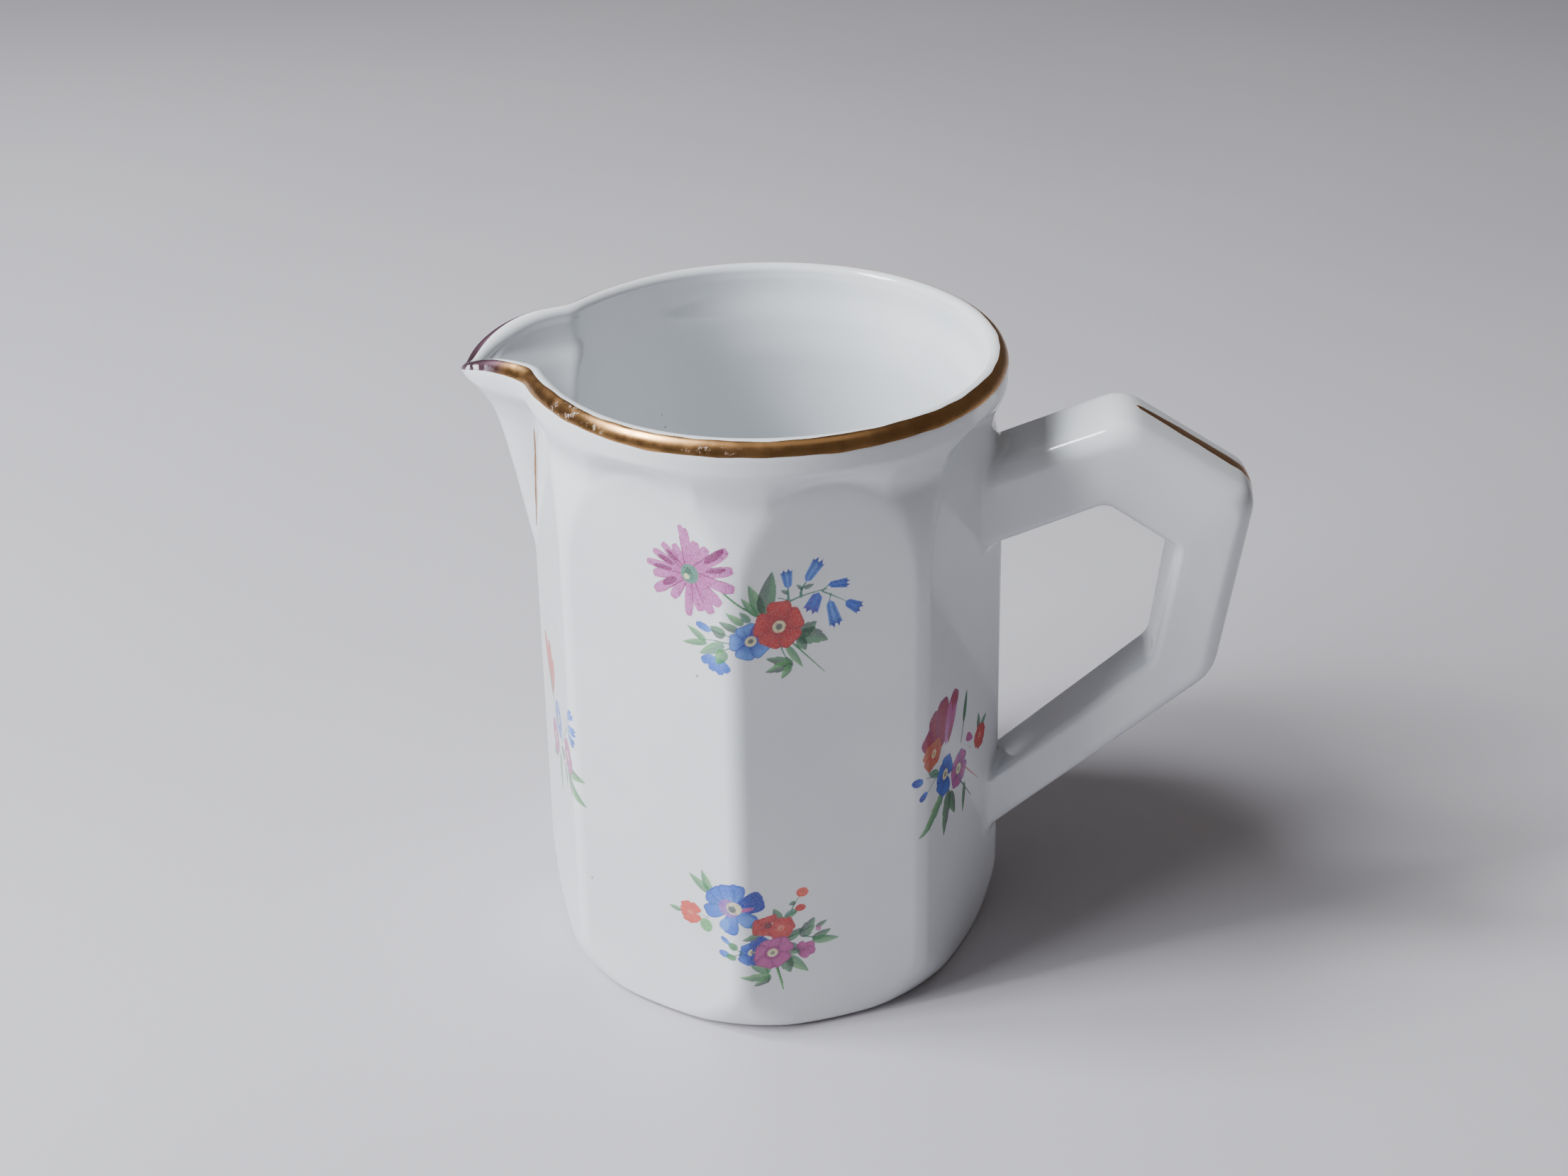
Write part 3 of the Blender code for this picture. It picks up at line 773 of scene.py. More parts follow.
    def dots(self, base, tip, spread, count, colour, size=0.1):
        """Fine printed dots scattered along a line."""
        for _ in range(count):
            t = self.chance.uniform(0.1, 0.95)
            shift = self.chance.normal(0.0, spread, 2)
            self.disc(between(base, tip, t) + shift, size * self.chance.uniform(0.7, 1.3), colour, 0.7)

    def flower(self, centre, petals, width, inner, outer, edge, eye=1.0, ring=CREAM,
               pupil=GREY, point=0.3, root=0.8, veins=0.0):
        """Open flower; each petal is an angle in degrees and a length."""
        for angle, length in petals:
            tip = polar(centre, angle, length)
            self.petal(centre, tip, width, inner, outer, edge, root, point, veins)
        if eye:
            self.disc(centre, eye, ring)
            self.disc(centre, 0.45 * eye, pupil)
            self.disc((centre[0] - 0.1 * eye, centre[1] + 0.1 * eye), 0.2 * eye, CREAM, 0.5)

    def bell(self, base, mouth, width, pale, deep):
        """Hanging bell flower with a toothed mouth."""
        along, across, reach = self.local(base, mouth)
        t = np.clip(along, 0, 1)
        half = width / 2 * mix(0.45, 1.0, t ** 0.7) * smoothstep(t * 5)
        side = across / np.maximum(half, 0.05)
        hem = 1.0 - 0.16 * np.abs(np.cos(side * 4.2))
        mask = smoothstep((half - np.abs(across)) / 0.14 + 0.5)
        mask = mask * smoothstep(along * reach / 0.1) * smoothstep((hem - along) * reach / 0.14)
        colour = mix(pale, deep, smoothstep((t - 0.55) / 0.4)[..., None])
        lines = smoothstep(np.abs(np.sin(side * 3.2)) * 1.5 - 0.6)
        colour = mix(colour, deep, (0.6 * lines)[..., None])
        self.lay(colour, mask)


def paint_upper():
    """Pink daisy, red and blue flowers, and a branch of bellflowers."""
    art = Transfer(17.6, 12.8, 3)
    art.stem([(-3.2, 3.6), (-0.5, 1.3), (2.0, -0.8)], 0.4, GREEN)
    each(art.leaf,
        ((1.6, -0.5), (-0.7, 2.9), 1.1), ((2.3, -0.6), (0.4, 4.7), 1.8),
        ((2.4, -0.4), (3.8, 6.2), 2.6, SHADY))
    each(art.stem,
        ([(5.0, 0.6), (8.0, 1.7), (11.9, 2.2)], 0.34, SEA_GREEN),
        ([(11.2, 1.9), (13.0, 0.9), (15.0, -0.3)], 0.3, SEA_GREEN),
        ([(6.1, 1.1), (6.0, 2.2), (6.0, 3.4)], 0.5, SEA_GREEN),
        ([(7.9, 1.7), (8.0, 2.6), (8.6, 3.6)], 0.5, SEA_GREEN),
        ([(11.0, 2.1), (11.6, 2.4), (12.2, 2.9)], 0.3, SEA_GREEN),
        ([(12.4, 1.4), (12.3, 0.9), (12.2, 0.3)], 0.3, SEA_GREEN),
        ([(4.6, 1.9), (5.5, 1.6), (6.3, 1.2)], 0.25, SEA_GREEN))
    each(art.leaf,
        ((6.0, 2.4), (4.9, 3.1), 0.7, COOL), ((8.2, 2.7), (7.2, 3.6), 0.7, COOL),
        ((8.3, 2.8), (10.0, 3.3), 0.8, COOL))
    each(art.bell,
        ((6.1, 3.0), (5.7, 6.3), 2.0, PALE_BLUE, DEEP_BLUE),
        ((8.5, 3.6), (11.1, 7.2), 2.2, PALE_BLUE, DEEP_BLUE),
        ((11.8, 2.8), (15.6, 2.7), 1.7, BLUE, DEEP_BLUE),
        ((10.7, 2.0), (9.0, -1.3), 2.7, BLUE, VIOLET),
        ((12.1, 0.7), (13.4, -4.2), 2.3, PALE_BLUE, DEEP_BLUE),
        ((14.5, -0.1), (17.3, -1.8), 2.2, BLUE, DEEP_BLUE))
    paint_daisy(art)
    paint_left_sprigs(art)
    each(art.leaf,
        ((7.0, -4.6), (10.3, -2.5), 2.3, SHADY, 4), ((7.2, -4.6), (12.0, -5.8), 2.8, SHADY, 4, 0.1),
        ((7.4, -4.6), (8.6, -6.9), 1.6, SHADY))
    each(art.stem,
        ([(6.4, -5.2), (8.8, -7.9), (11.3, -10.7)], 0.34),
        ([(4.8, -5.6), (5.5, -7.4), (6.6, -9.0)], 0.3, SEA_GREEN))
    each(art.leaf,
        ((5.6, -5.6), (8.1, -9.6), 1.2), ((6.6, -8.6), (2.5, -7.2), 1.6, SHADY, 3),
        ((6.6, -8.5), (2.4, -9.4), 1.7, BOLD, 3), ((6.3, -8.8), (4.7, -10.9), 1.2))
    blue = [(178, 3.0), (248, 3.0), (312, 3.0), (40, 2.6), (108, 2.8)]
    art.flower((0.6, -4.1), blue, 2.9, DEEP_BLUE, PALE_BLUE, DEEP_BLUE, 0.75, veins=0.3)
    art.petal((0.6, -4.1), (2.6, -1.8), 2.4, DEEP_BLUE, VIOLET, VIOLET, 0.6, 0.35)
    each(art.disc,
        ((0.6, -4.1), 0.8, CREAM, 0.85), ((0.6, -4.1), 0.4, GREY))
    red = [(166, 3.6), (238, 3.4), (310, 3.6), (22, 3.7), (88, 4.0)]
    art.flower((4.6, -2.5), red, 3.7, DEEP_RED, RED, DEEP_RED, 0.9, veins=0.35)
    each(art.disc,
        ((4.6, -2.5), 1.5, DEEP_RED, 0.4), ((4.6, -2.5), 0.95, CREAM, 0.85),
        ((4.6, -2.5), 0.5, GREY))
    art.dots((2.0, -1.0), (7.2, -4.0), 0.9, 26, DEEP_RED)
    return art


def paint_daisy(art):
    centre = (-8.2, 5.2)
    petals = [(160, 6.4, 1.5), (141, 5.7, 1.5), (122, 4.6, 1.6), (56, 5.4, 1.9), (76, 5.2, 1.9),
              (-167, 6.3, 1.8), (-57, 6.5, 2.1), (-38, 6.2, 2.2), (-72, 5.8, 1.9),
              (-123, 5.4, 1.8), (-92, 6.7, 1.7), (-146, 7.2, 1.9), (178, 7.2, 1.5),
              (14, 6.9, 1.9), (-10, 7.0, 2.1), (37, 7.4, 2.0), (96, 6.7, 2.0)]
    for angle, length, width in petals:
        tip = polar(centre, angle, length)
        art.petal(centre, tip, 0.86 * width, PINK, PALE_PINK, PINK, 0.7, 0.28)
        start = polar(centre, angle + 90, 0.21 * width)
        end = polar(between(centre, tip, 0.8), angle + 90, 0.42 * width)
        art.stem([start, end], 0.2, MAGENTA)
        art.dots(centre, tip, 0.3, 14, MAGENTA, 0.1)
    dark = [(160, 5.4, 0.9), (178, 6.0, 0.7), (-152, 5.2, 1.1), (140, 4.6, 0.7), (14, 6.0, 0.7),
            (37, 7.0, 1.1)]
    for angle, length, width in dark:
        far = polar(centre, angle + 3, length)
        art.petal(between(centre, far, 0.45), far, width, MAGENTA, MAGENTA, MAGENTA, 0.6, 0.5)
    art.petal((-8.6, 9.6), (-9.6, 12.2), 1.1, PALE_PINK, PALE_PINK, PINK, 0.5, 0.4)
    each(art.disc,
        ((-8.1, 5.1), 1.45, SEA_GREEN, 0.95), ((-8.3, 5.5), 0.5, DARK_GREEN, 0.7),
        ((-8.6, 4.6), 0.45, CREAM, 0.8))
    art.dots((-9.2, 5.8), (-7.2, 4.4), 0.5, 18, DARK_GREEN, 0.11)


def paint_left_sprigs(art):
    each(art.stem,
        ([(-0.5, -3.6), (-3.0, -3.0), (-5.0, -2.8)], 0.26, SEA_GREEN),
        ([(-1.6, -4.4), (-4.0, -4.2), (-6.0, -4.6)], 0.26, SEA_GREEN),
        ([(-1.8, -4.8), (-3.0, -5.4), (-4.2, -6.2)], 0.26, SEA_GREEN))
    each(art.leaf,
        ((-1.0, -2.2), (-3.9, -1.1), 1.3, SHADY), ((-0.3, -1.4), (-2.8, 0.5), 1.2),
        ((0.6, -1.2), (-0.9, 0.7), 1.1, MILD), ((-2.9, -3.3), (-5.1, -2.1), 1.9, SHADY),
        ((-5.8, -4.7), (-8.9, -2.9), 1.2), ((-5.6, -4.9), (-9.8, -5.8), 1.1),
        ((-3.0, -4.5), (-7.0, -7.0), 1.7, MISTY))
    art.petal((-4.9, -2.9), (-7.4, -2.2), 1.3, PALE_BLUE, BLUE, DEEP_BLUE, 0.5, 0.5)
    for tip in ((-6.7, -8.0), (-5.2, -9.2), (-3.7, -9.6), (-2.4, -8.9)):
        art.petal((-4.2, -6.9), tip, 1.5, PALE_BLUE, BLUE, BLUE, 0.6, 0.4, 0.3)
    art.leaf((-3.0, -5.4), (-4.2, -7.9), 1.9)


def paint_lower():
    """Blue anemone with red, orange, mauve and blue flowers and berries."""
    art = Transfer(14.2, 11.4, 5)
    each(art.leaf,
        ((-6.4, 7.0), (-10.1, 9.6), 1.6), ((-6.3, 7.2), (-7.9, 11.0), 1.5),
        ((-11.6, 1.9), (-13.9, 2.2), 1.0))
    art.stem([(-6.8, 2.3), (-8.0, 2.4), (-9.4, 2.3)], 0.2, SEA_GREEN)
    orange = [(118, 2.1), (50, 2.2), (188, 1.8), (256, 2.1), (320, 2.0)]
    art.flower((-10.0, 2.2), orange, 2.0, ORANGE, ORANGE, RED, 0.4, PALE_ORANGE, RED)
    art.disc((-7.3, 0.8), 1.1, PALE_GREEN, 0.95, 1.15)
    art.dots((-7.9, 1.6), (-6.9, 0.0), 0.35, 8, GREEN, 0.12)
    paint_anemone(art)
    each(art.leaf,
        ((1.6, 0.4), (-1.7, -0.2), 1.5, SHADY, 3), ((1.8, 0.5), (-0.5, 2.4), 1.5, SHADY))
    each(art.stem,
        ([(3.8, 2.6), (4.9, 3.0), (6.5, 3.6)], 0.34), ([(5.6, 3.3), (6.0, 4.7), (7.1, 6.4)], 0.28))
    each(art.leaf,
        ((4.0, 2.4), (2.9, 4.9), 1.4, SHADY), ((4.6, 2.8), (7.0, 4.1), 1.4, MILD),
        ((6.4, 5.3), (5.2, 5.0), 0.9, SHADY))
    each(art.disc,
        ((7.4, 6.9), 1.0, ink(232, 98, 78), 1.0, 0.9), ((7.1, 4.1), 0.85, RED, 1.0, 0.8))
    art.dots((6.8, 6.4), (8.0, 7.4), 0.3, 8, DEEP_RED)
    paint_right_leaves(art)
    red = [(176, 2.4), (100, 1.9), (250, 1.9), (320, 2.0)]
    art.flower((2.2, 1.8), red, 3.0, DEEP_RED, RED, DEEP_RED, 0.0)
    scarlet = [(20, 2.2), (75, 1.9), (-30, 2.1), (-95, 2.1), (150, 1.7), (215, 1.8)]
    art.flower((4.0, 1.0), scarlet, 2.6, ORANGE, RED, DEEP_RED, 0.5, PALE_ORANGE, RED,
               veins=0.3)
    art.disc((2.1, 1.9), 0.55, ink(96, 24, 30), 0.8)
    blue = [(165, 1.9), (112, 2.0), (60, 2.2), (235, 2.5), (285, 2.2)]
    art.flower((-0.2, -2.6), blue, 2.4, DEEP_BLUE, BLUE, DEEP_BLUE, 0.65, CREAM, GREY)
    each(art.petal,
        ((-0.2, -2.4), (1.9, -0.3), 2.4, DEEP_BLUE, DEEP_BLUE, VIOLET),
        ((-0.2, -2.8), (0.9, -5.0), 2.2, DEEP_BLUE, DEEP_BLUE, DEEP_BLUE))
    mauve = [(30, 3.2), (96, 2.7), (172, 2.7), (240, 2.9), (308, 3.0)]
    art.flower((2.7, -3.4), mauve, 3.3, MAUVE, MAUVE, DEEP_MAUVE, 0.75, CREAM, GREY, veins=0.3)
    art.ring((2.7, -3.4), 1.1, 0.25, DEEP_MAUVE, 0.6)
    each(art.stem,
        ([(-1.6, -2.4), (-2.3, -2.1), (-3.2, -1.6)], 0.22, DARK_GREEN),
        ([(-1.6, -2.7), (-2.4, -3.1), (-3.3, -3.5)], 0.22, DARK_GREEN))
    art.petal((-3.4, -1.4), (-4.9, -0.3), 1.0, PALE_BLUE, BLUE, DEEP_BLUE, 0.5, 0.5)
    art.disc((-3.0, -1.6), 0.75, GREEN, 0.95)
    art.petal((-3.4, -3.5), (-5.3, -3.4), 1.4, PALE_BLUE, BLUE, DEEP_BLUE, 0.5, 0.5)
    art.disc((-3.3, -3.7), 0.8, GREEN, 0.95, 0.8)
    return art


def paint_anemone(art):
    centre = (-3.0, 5.5)
    petals = [(8, 4.8), (165, 4.4), (205, 4.9), (135, 4.2), (318, 4.4), (265, 5.0), (78, 4.7),
              (30, 4.9), (105, 4.3)]
    for angle, length in petals:
        shaded = angle in (8, 30)
        inner, outer = (DEEP_BLUE, DEEP_BLUE) if shaded else (PALE_BLUE, BLUE)
        art.petal(centre, polar(centre, angle, length), 2.6, inner, outer, DEEP_BLUE, 0.9, 0.34,
                  0.25)
    each(art.petal,
        ((-2.6, 5.2), (-0.2, 2.6), 2.2, BLUE, PALE_BLUE, BLUE, 0.7, 0.3),
        ((-3.8, 3.4), (-4.6, 1.0), 1.6, PALE_BLUE, PALE_BLUE, BLUE, 0.6, 0.4))
    art.disc((-3.5, 5.4), 1.6, MAUVE, 0.5)
    art.petal((-2.2, 5.4), (0.2, 5.6), 0.8, MAUVE, MAUVE, BLUE, 0.5, 0.5)
    each(art.disc,
        ((-2.7, 5.6), 1.15, CREAM, 0.9), ((-3.0, 5.4), 0.6, GREY))
    art.dots((-3.6, 5.9), (-2.6, 5.1), 0.35, 12, DARK_GREEN, 0.08)
    art.dots((-4.6, 6.6), (-1.6, 4.4), 0.7, 26, DEEP_BLUE, 0.08)


def paint_right_leaves(art):
    each(art.stem,
        ([(4.6, -1.2), (6.6, -0.6), (8.8, 0.2)], 0.3, DARK_GREEN),
        ([(7.6, -1.4), (9.4, -2.0), (11.4, -2.3)], 0.3))
    each(art.leaf,
        ((4.6, -1.6), (7.6, 0.3), 1.7, SHADY), ((7.2, -1.6), (9.3, 1.9), 2.2, SHADY, 3),
        ((9.4, -0.2), (11.4, 0.9), 0.9, SHADY))
    art.disc((9.9, -0.5), 0.5, MAUVE, 0.9)
    each(art.leaf,
        ((8.8, -2.4), (12.0, -0.9), 1.5, SHADY), ((8.8, -2.5), (13.3, -2.9), 1.6),
        ((6.4, -3.8), (5.2, -1.9), 1.4, DEEP))
    for tip in ((9.3, -3.2), (9.4, -4.6), (8.4, -5.4), (7.8, -2.6)):
        art.petal((6.5, -3.8), tip, 1.7, DEEP_MAUVE, MAUVE, DEEP_MAUVE, 0.6, 0.35)
    each(art.leaf,
        ((5.0, -3.4), (7.0, -4.4), 1.3, SHADY), ((4.6, -4.4), (8.3, -8.4), 1.9),
        ((4.4, -4.6), (5.4, -7.9), 2.2, SHADY, 3))
    each(art.stem,
        ([(3.2, -6.0), (3.7, -8.2), (4.2, -10.8)], 0.5, PALE_GREEN),
        ([(3.4, -6.2), (3.8, -8.0), (4.2, -9.6)], 0.2, DARK_GREEN),
        ([(1.6, -6.0), (2.0, -7.4), (1.9, -9.0)], 0.3))
    each(art.leaf,
        ((2.4, -6.9), (-0.6, -5.0), 1.7), ((2.5, -7.8), (-2.2, -7.3), 1.6, FRESH, 3),
        ((2.4, -7.9), (-0.2, -9.2), 1.5, BOLD))


def paint_handle_side():
    """Large crimson bloom over orange, blue and purple flowers."""
    art = Transfer(13.6, 17.0, 7)
    art.stem([(3.4, 5.2), (2.6, 1.2), (1.4, -2.6)], 0.5, DARK_GREEN)
    each(art.leaf,
        ((2.4, 0.4), (3.6, 6.0), 1.4, SHADY), ((8.4, -4.4), (8.3, -1.0), 1.4, SHADY),
        ((9.0, -4.4), (11.4, -2.8), 1.4, MILD))
    for tip, width in (((-10.8, 5.6), 4.6), ((-9.0, 8.2), 3.6), ((-0.3, 8.0), 3.4),
                       ((-5.4, 9.0), 4.4)):
        art.petal((-5.6, 0.8), tip, width, CRIMSON, CRIMSON, DEEP_MAUVE, 0.8, 0.35, 0.3)
    each(art.petal,
        ((-4.4, 0.2), (-2.6, 7.2), 2.4, PALE_PINK, MAUVE, CRIMSON, 0.7, 0.5),
        ((-3.6, 0.0), (-0.6, 6.0), 1.8, CRIMSON, MAUVE, DEEP_MAUVE, 0.7, 0.5))
    brown = [(150, 3.0), (215, 2.8), (275, 2.4), (20, 2.4), (330, 2.6), (85, 2.2)]
    art.flower((-8.4, 1.2), brown, 2.8, ORANGE, BROWN, RED, 0.7, CREAM, BROWN, veins=0.2)
    red = [(60, 2.0), (130, 2.1), (200, 2.2), (275, 2.4), (345, 2.0)]
    art.flower((8.9, -5.6), red, 2.4, RED, RED, DEEP_RED, 0.5, PALE_ORANGE, DEEP_RED)
    art.petal((6.2, -4.6), (3.6, -2.8), 1.6, MAUVE, MAUVE, CRIMSON)
    each(art.stem,
        ([(-5.0, -4.0), (-7.6, -3.0), (-10.6, -1.9)], 0.3, SEA_GREEN),
        ([(-6.6, -3.6), (-9.0, -4.0), (-10.6, -4.8)], 0.3, SEA_GREEN))
    art.leaf((-6.8, -3.4), (-10.2, -1.2), 1.5, MILD)
    each(art.petal,
        ((-11.2, -2.0), (-13.2, -2.0), 1.6, BLUE, DEEP_BLUE, DEEP_BLUE, 0.5, 0.5),
        ((-10.4, -4.2), (-11.9, -5.5), 1.3, BLUE, DEEP_BLUE, DEEP_BLUE, 0.5, 0.5))
    each(art.leaf,
        ((-4.6, -7.6), (-12.2, -12.2), 2.6, FRESH, 4), ((-3.2, -8.4), (-4.8, -16.4), 2.8, SHADY, 4),
        ((-2.6, -9.4), (-0.6, -14.6), 2.2, SHADY))
    art.stem([(0.8, -9.0), (3.4, -12.2), (5.6, -15.0)], 0.36, DARK_GREEN)
    art.leaf((3.0, -10.8), (2.4, -16.6), 1.3, SHADY)
    art.stem([(3.0, -8.0), (6.4, -11.4), (8.4, -13.4)], 0.3, BROWN)
    blue = [(80, 3.2), (150, 3.0), (220, 3.2), (275, 3.8), (20, 2.8)]
    art.flower((-4.4, -5.0), blue, 3.3, DEEP_BLUE, BLUE, VIOLET, 0.9, CREAM, GREY, veins=0.3)
    purple = [(50, 3.2), (120, 2.8), (190, 2.8), (255, 3.2), (325, 3.2)]
    art.flower((0.6, -7.0), purple, 3.4, DEEP_MAUVE, MAUVE, VIOLET, 0.9, CREAM, GREY,
               veins=0.3)
    return art


def paint_spout_side():
    """Red tulip, blue bells, a mauve and a pink flower over green leaves."""
    art = Transfer(13.0, 17.0, 9)
    for tip, width in (((-11.8, 8.0), 3.2), ((-7.6, 8.4), 3.6), ((-4.6, 6.4), 2.8)):
        art.petal((-6.8, -1.2), tip, width, RED, ORANGE, DEEP_RED, 0.8, 0.5, 0.3)
    art.leaf((-6.6, -1.6), (-9.6, 2.6), 1.6)
    each(art.stem,
        ([(-6.4, -1.0), (-4.4, -5.0), (-2.0, -13.0)], 0.36),
        ([(1.0, -5.4), (4.6, -1.4), (8.0, 2.2)], 0.3, SEA_GREEN),
        ([(4.0, -2.2), (6.4, 1.8), (8.4, 4.0)], 0.3, SEA_GREEN))
    each(art.bell,
        ((7.4, 3.4), (10.2, 5.6), 2.0, PALE_BLUE, BLUE),
        ((7.6, 2.2), (11.0, 2.2), 1.9, PALE_BLUE, BLUE),
        ((7.2, 1.2), (10.6, -0.2), 1.9, PALE_BLUE, DEEP_BLUE))
    blue = [(95, 3.2), (165, 3.0), (235, 3.0), (305, 3.2), (25, 3.0)]
    art.flower((-1.8, -2.8), blue, 3.2, BLUE, PALE_BLUE, DEEP_BLUE, 0.9, CREAM, GREY)
    mauve = [(60, 2.8), (130, 3.0), (200, 3.0), (270, 3.2), (340, 2.8)]
    each(art.leaf,
        ((-4.0, -9.6), (-8.8, -13.2), 2.2, FRESH, 3), ((-1.6, -9.0), (-2.0, -16.2), 2.0, FRESH, 4))
    art.flower((-5.6, -8.2), mauve, 3.2, MAUVE, MAUVE, DEEP_MAUVE, 0.9, CREAM, GREY)
    each(art.leaf,
        ((3.0, -7.0), (-0.6, -7.2), 2.2, SHADY), ((5.6, -6.4), (12.2, -6.0), 2.2, FRESH, 0, 0.08),
        ((6.0, -6.6), (12.2, -10.6), 2.2), ((5.6, -6.8), (8.4, -10.6), 1.8, SHADY),
        ((3.4, -7.4), (4.2, -11.6), 1.8))
    pink = [(70, 3.0), (140, 2.8), (215, 2.8), (285, 2.8), (0, 3.2)]
    art.flower((6.0, -4.6), pink, 3.2, PINK, MAUVE, DEEP_MAUVE, 0.8, CREAM, GREY, veins=0.3)
    return art


def grow(mask, times):
    """Widen a mask by some cells."""
    for _ in range(times):
        wide = mask.copy()
        wide[1:] |= mask[:-1]
        wide[:-1] |= mask[1:]
        wide[:, 1:] |= mask[:, :-1]
        wide[:, :-1] |= mask[:, 1:]
        mask = wide
    return mask


def make_spray(name, art, middle, centre_z, material, node):
    """Wrap a printed spray on the wall as a thin film cut round its flowers."""
    inked = grow(art.cover > 0.02, 2)
    cells = inked[:-1, :-1] & inked[1:, :-1] & inked[1:, 1:] & inked[:-1, 1:]
    used = np.zeros_like(inked)
    for shift_u in (0, 1):
        for shift_v in (0, 1):
            used[shift_u:used.shape[0] - 1 + shift_u,
                 shift_v:used.shape[1] - 1 + shift_v] |= cells
    number = np.full(used.shape, -1)
    number[used] = np.arange(used.sum())
    theta = math.radians(middle) + art.u[used] / WALL_RADIUS
    z = centre_z + art.v[used]
    r = outer_radius(theta, z)
    front = place(theta, r + 0.5 * FILM, z)
    back = place(theta, r - FILM, z)
    count = len(front)
    a, b = number[:-1, :-1][cells], number[1:, :-1][cells]
    c, d = number[1:, 1:][cells], number[:-1, 1:][cells]
    quads = np.stack([a, b, c, d], axis=1)
    edges = np.concatenate([quads[:, [k, (k + 1) % 4]] for k in range(4)])
    key = edges[:, 0].astype(np.int64) * count + edges[:, 1]
    twin = edges[:, 1].astype(np.int64) * count + edges[:, 0]
    border = edges[~np.isin(key, twin)]
    rim = np.stack([border[:, 1], border[:, 0], border[:, 0] + count, border[:, 1] + count],
                   axis=1)
    faces = np.vstack([quads, quads[:, ::-1] + count, rim]).tolist()
    piece = make_piece(name, np.vstack([front, back]), faces, material, [node],
                       40)
    paint = np.concatenate([art.colour[used], art.cover[used][:, None]], axis=1)
    set_paint(piece, "ink", np.vstack([paint, paint]))


# ---------------------------------------------------------------- materials

class Shading:
    """A material with a Principled shader and short ways to add nodes to it."""

    def __init__(self, name):
        self.material = bpy.data.materials.new(name)
        self.material.use_nodes = True
        self.nodes = self.material.node_tree.nodes
        self.shader = self.nodes["Principled BSDF"]
        self.place = self.nodes.new("ShaderNodeTexCoord").outputs["Object"]

    def fill(self, socket, value):
        """Feed a socket from another node's output, a colour or a number."""
        if isinstance(value, bpy.types.NodeSocket):
            self.material.node_tree.links.new(value, socket)
        elif isinstance(value, tuple):
            socket.default_value = (*value, 1.0)
        else:
            socket.default_value = value

    def set(self, **inputs):
        for name, value in inputs.items():
            self.fill(self.shader.inputs[name.replace("_", " ")], value)

    def add(self, kind, **inputs):
        node = self.nodes.new("ShaderNode" + kind)
        for name, value in inputs.items():
            self.fill(node.inputs[name.replace("_", " ")], value)
        return node

    def noise(self, scale, detail=3.0, roughness=0.5):
        return self.add("TexNoise", Scale=scale, Detail=detail, Roughness=roughness,
                        Vector=self.place).outputs["Fac"]

    def spots(self, scale):
        """Distance to the nearest of scattered points, and a random value for each."""
        node = self.add("TexVoronoi", Scale=scale, Vector=self.place)
        return node.outputs["Distance"], node.outputs["Color"]

    def remap(self, value, low, high, to_low=0.0, to_high=1.0):
        node = self.add("MapRange", From_Min=low, From_Max=high, To_Min=to_low, To_Max=to_high,
                        Value=value)
        node.interpolation_type = "SMOOTHSTEP"
        return node.outputs["Result"]

    def math(self, operation, a, b):
        node = self.add("Math")
        node.operation = operation
        self.fill(node.inputs[0], a)
        self.fill(node.inputs[1], b)
        return node.outputs["Value"]

    def blend(self, share, a, b):
        """Colour mix; a and b are sockets or colours."""
        node = self.add("Mix", Factor=share)
        node.data_type = "RGBA"
        for socket, value in zip([s for s in node.inputs if s.type == "RGBA"], (a, b)):
            self.fill(socket, value)
        return [s for s in node.outputs if s.type == "RGBA"][0]

    def attribute(self, name):
        node = self.add("Attribute")
        node.attribute_name = name
        return node

    def channels(self, colour):
        return self.add("SeparateColor", Color=colour).outputs

    def height(self):
        return self.add("SeparateXYZ", Vector=self.place).outputs["Z"]

    def bump(self, value, strength, distance):
        node = self.add("Bump", Strength=strength, Distance=distance, Height=value)
        self.set(Normal=node.outputs["Normal"])


WHITE = (0.80, 0.82, 0.84)
COOL_WHITE = (0.74, 0.775, 0.80)
SPECK = (0.16, 0.12, 0.09)


def glaze_colour(shading):
    """Faintly uneven white with a few pin-prick specks fired into it."""
    clouds = shading.remap(shading.noise(38.0, 4.0), 0.35, 0.7)
    colour = shading.blend(clouds, WHITE, COOL_WHITE)
    distance, chance = shading.spots(210.0)
    rare = shading.remap(shading.channels(chance)["Red"], 0.93, 0.96)
    spot = shading.remap(distance, 0.07, 0.02)
    speck = shading.math("MULTIPLY", shading.math("MULTIPLY", rare, spot), 0.7)
    return shading.blend(speck, colour, SPECK)


def porcelain():
    shading = Shading("glazed_white_porcelain")
    shading.set(Roughness=0.09, IOR=1.52)
    colour = glaze_colour(shading)
    bare = shading.remap(shading.height(), 0.0007, 0.0001)
    grit = shading.blend(shading.noise(1800.0, 2.0), (0.72, 0.68, 0.60), (0.60, 0.55, 0.47))
    shading.set(Base_Color=shading.blend(bare, colour, grit))
    gloss = shading.remap(shading.noise(60.0), 0.3, 0.75, 0.06, 0.13)
    rough = shading.math("MAXIMUM", gloss, shading.math("MULTIPLY", bare, 0.7))
    shading.set(Roughness=rough)
    shading.bump(shading.noise(110.0, 2.0), 0.12, 0.0004)
    return shading.material


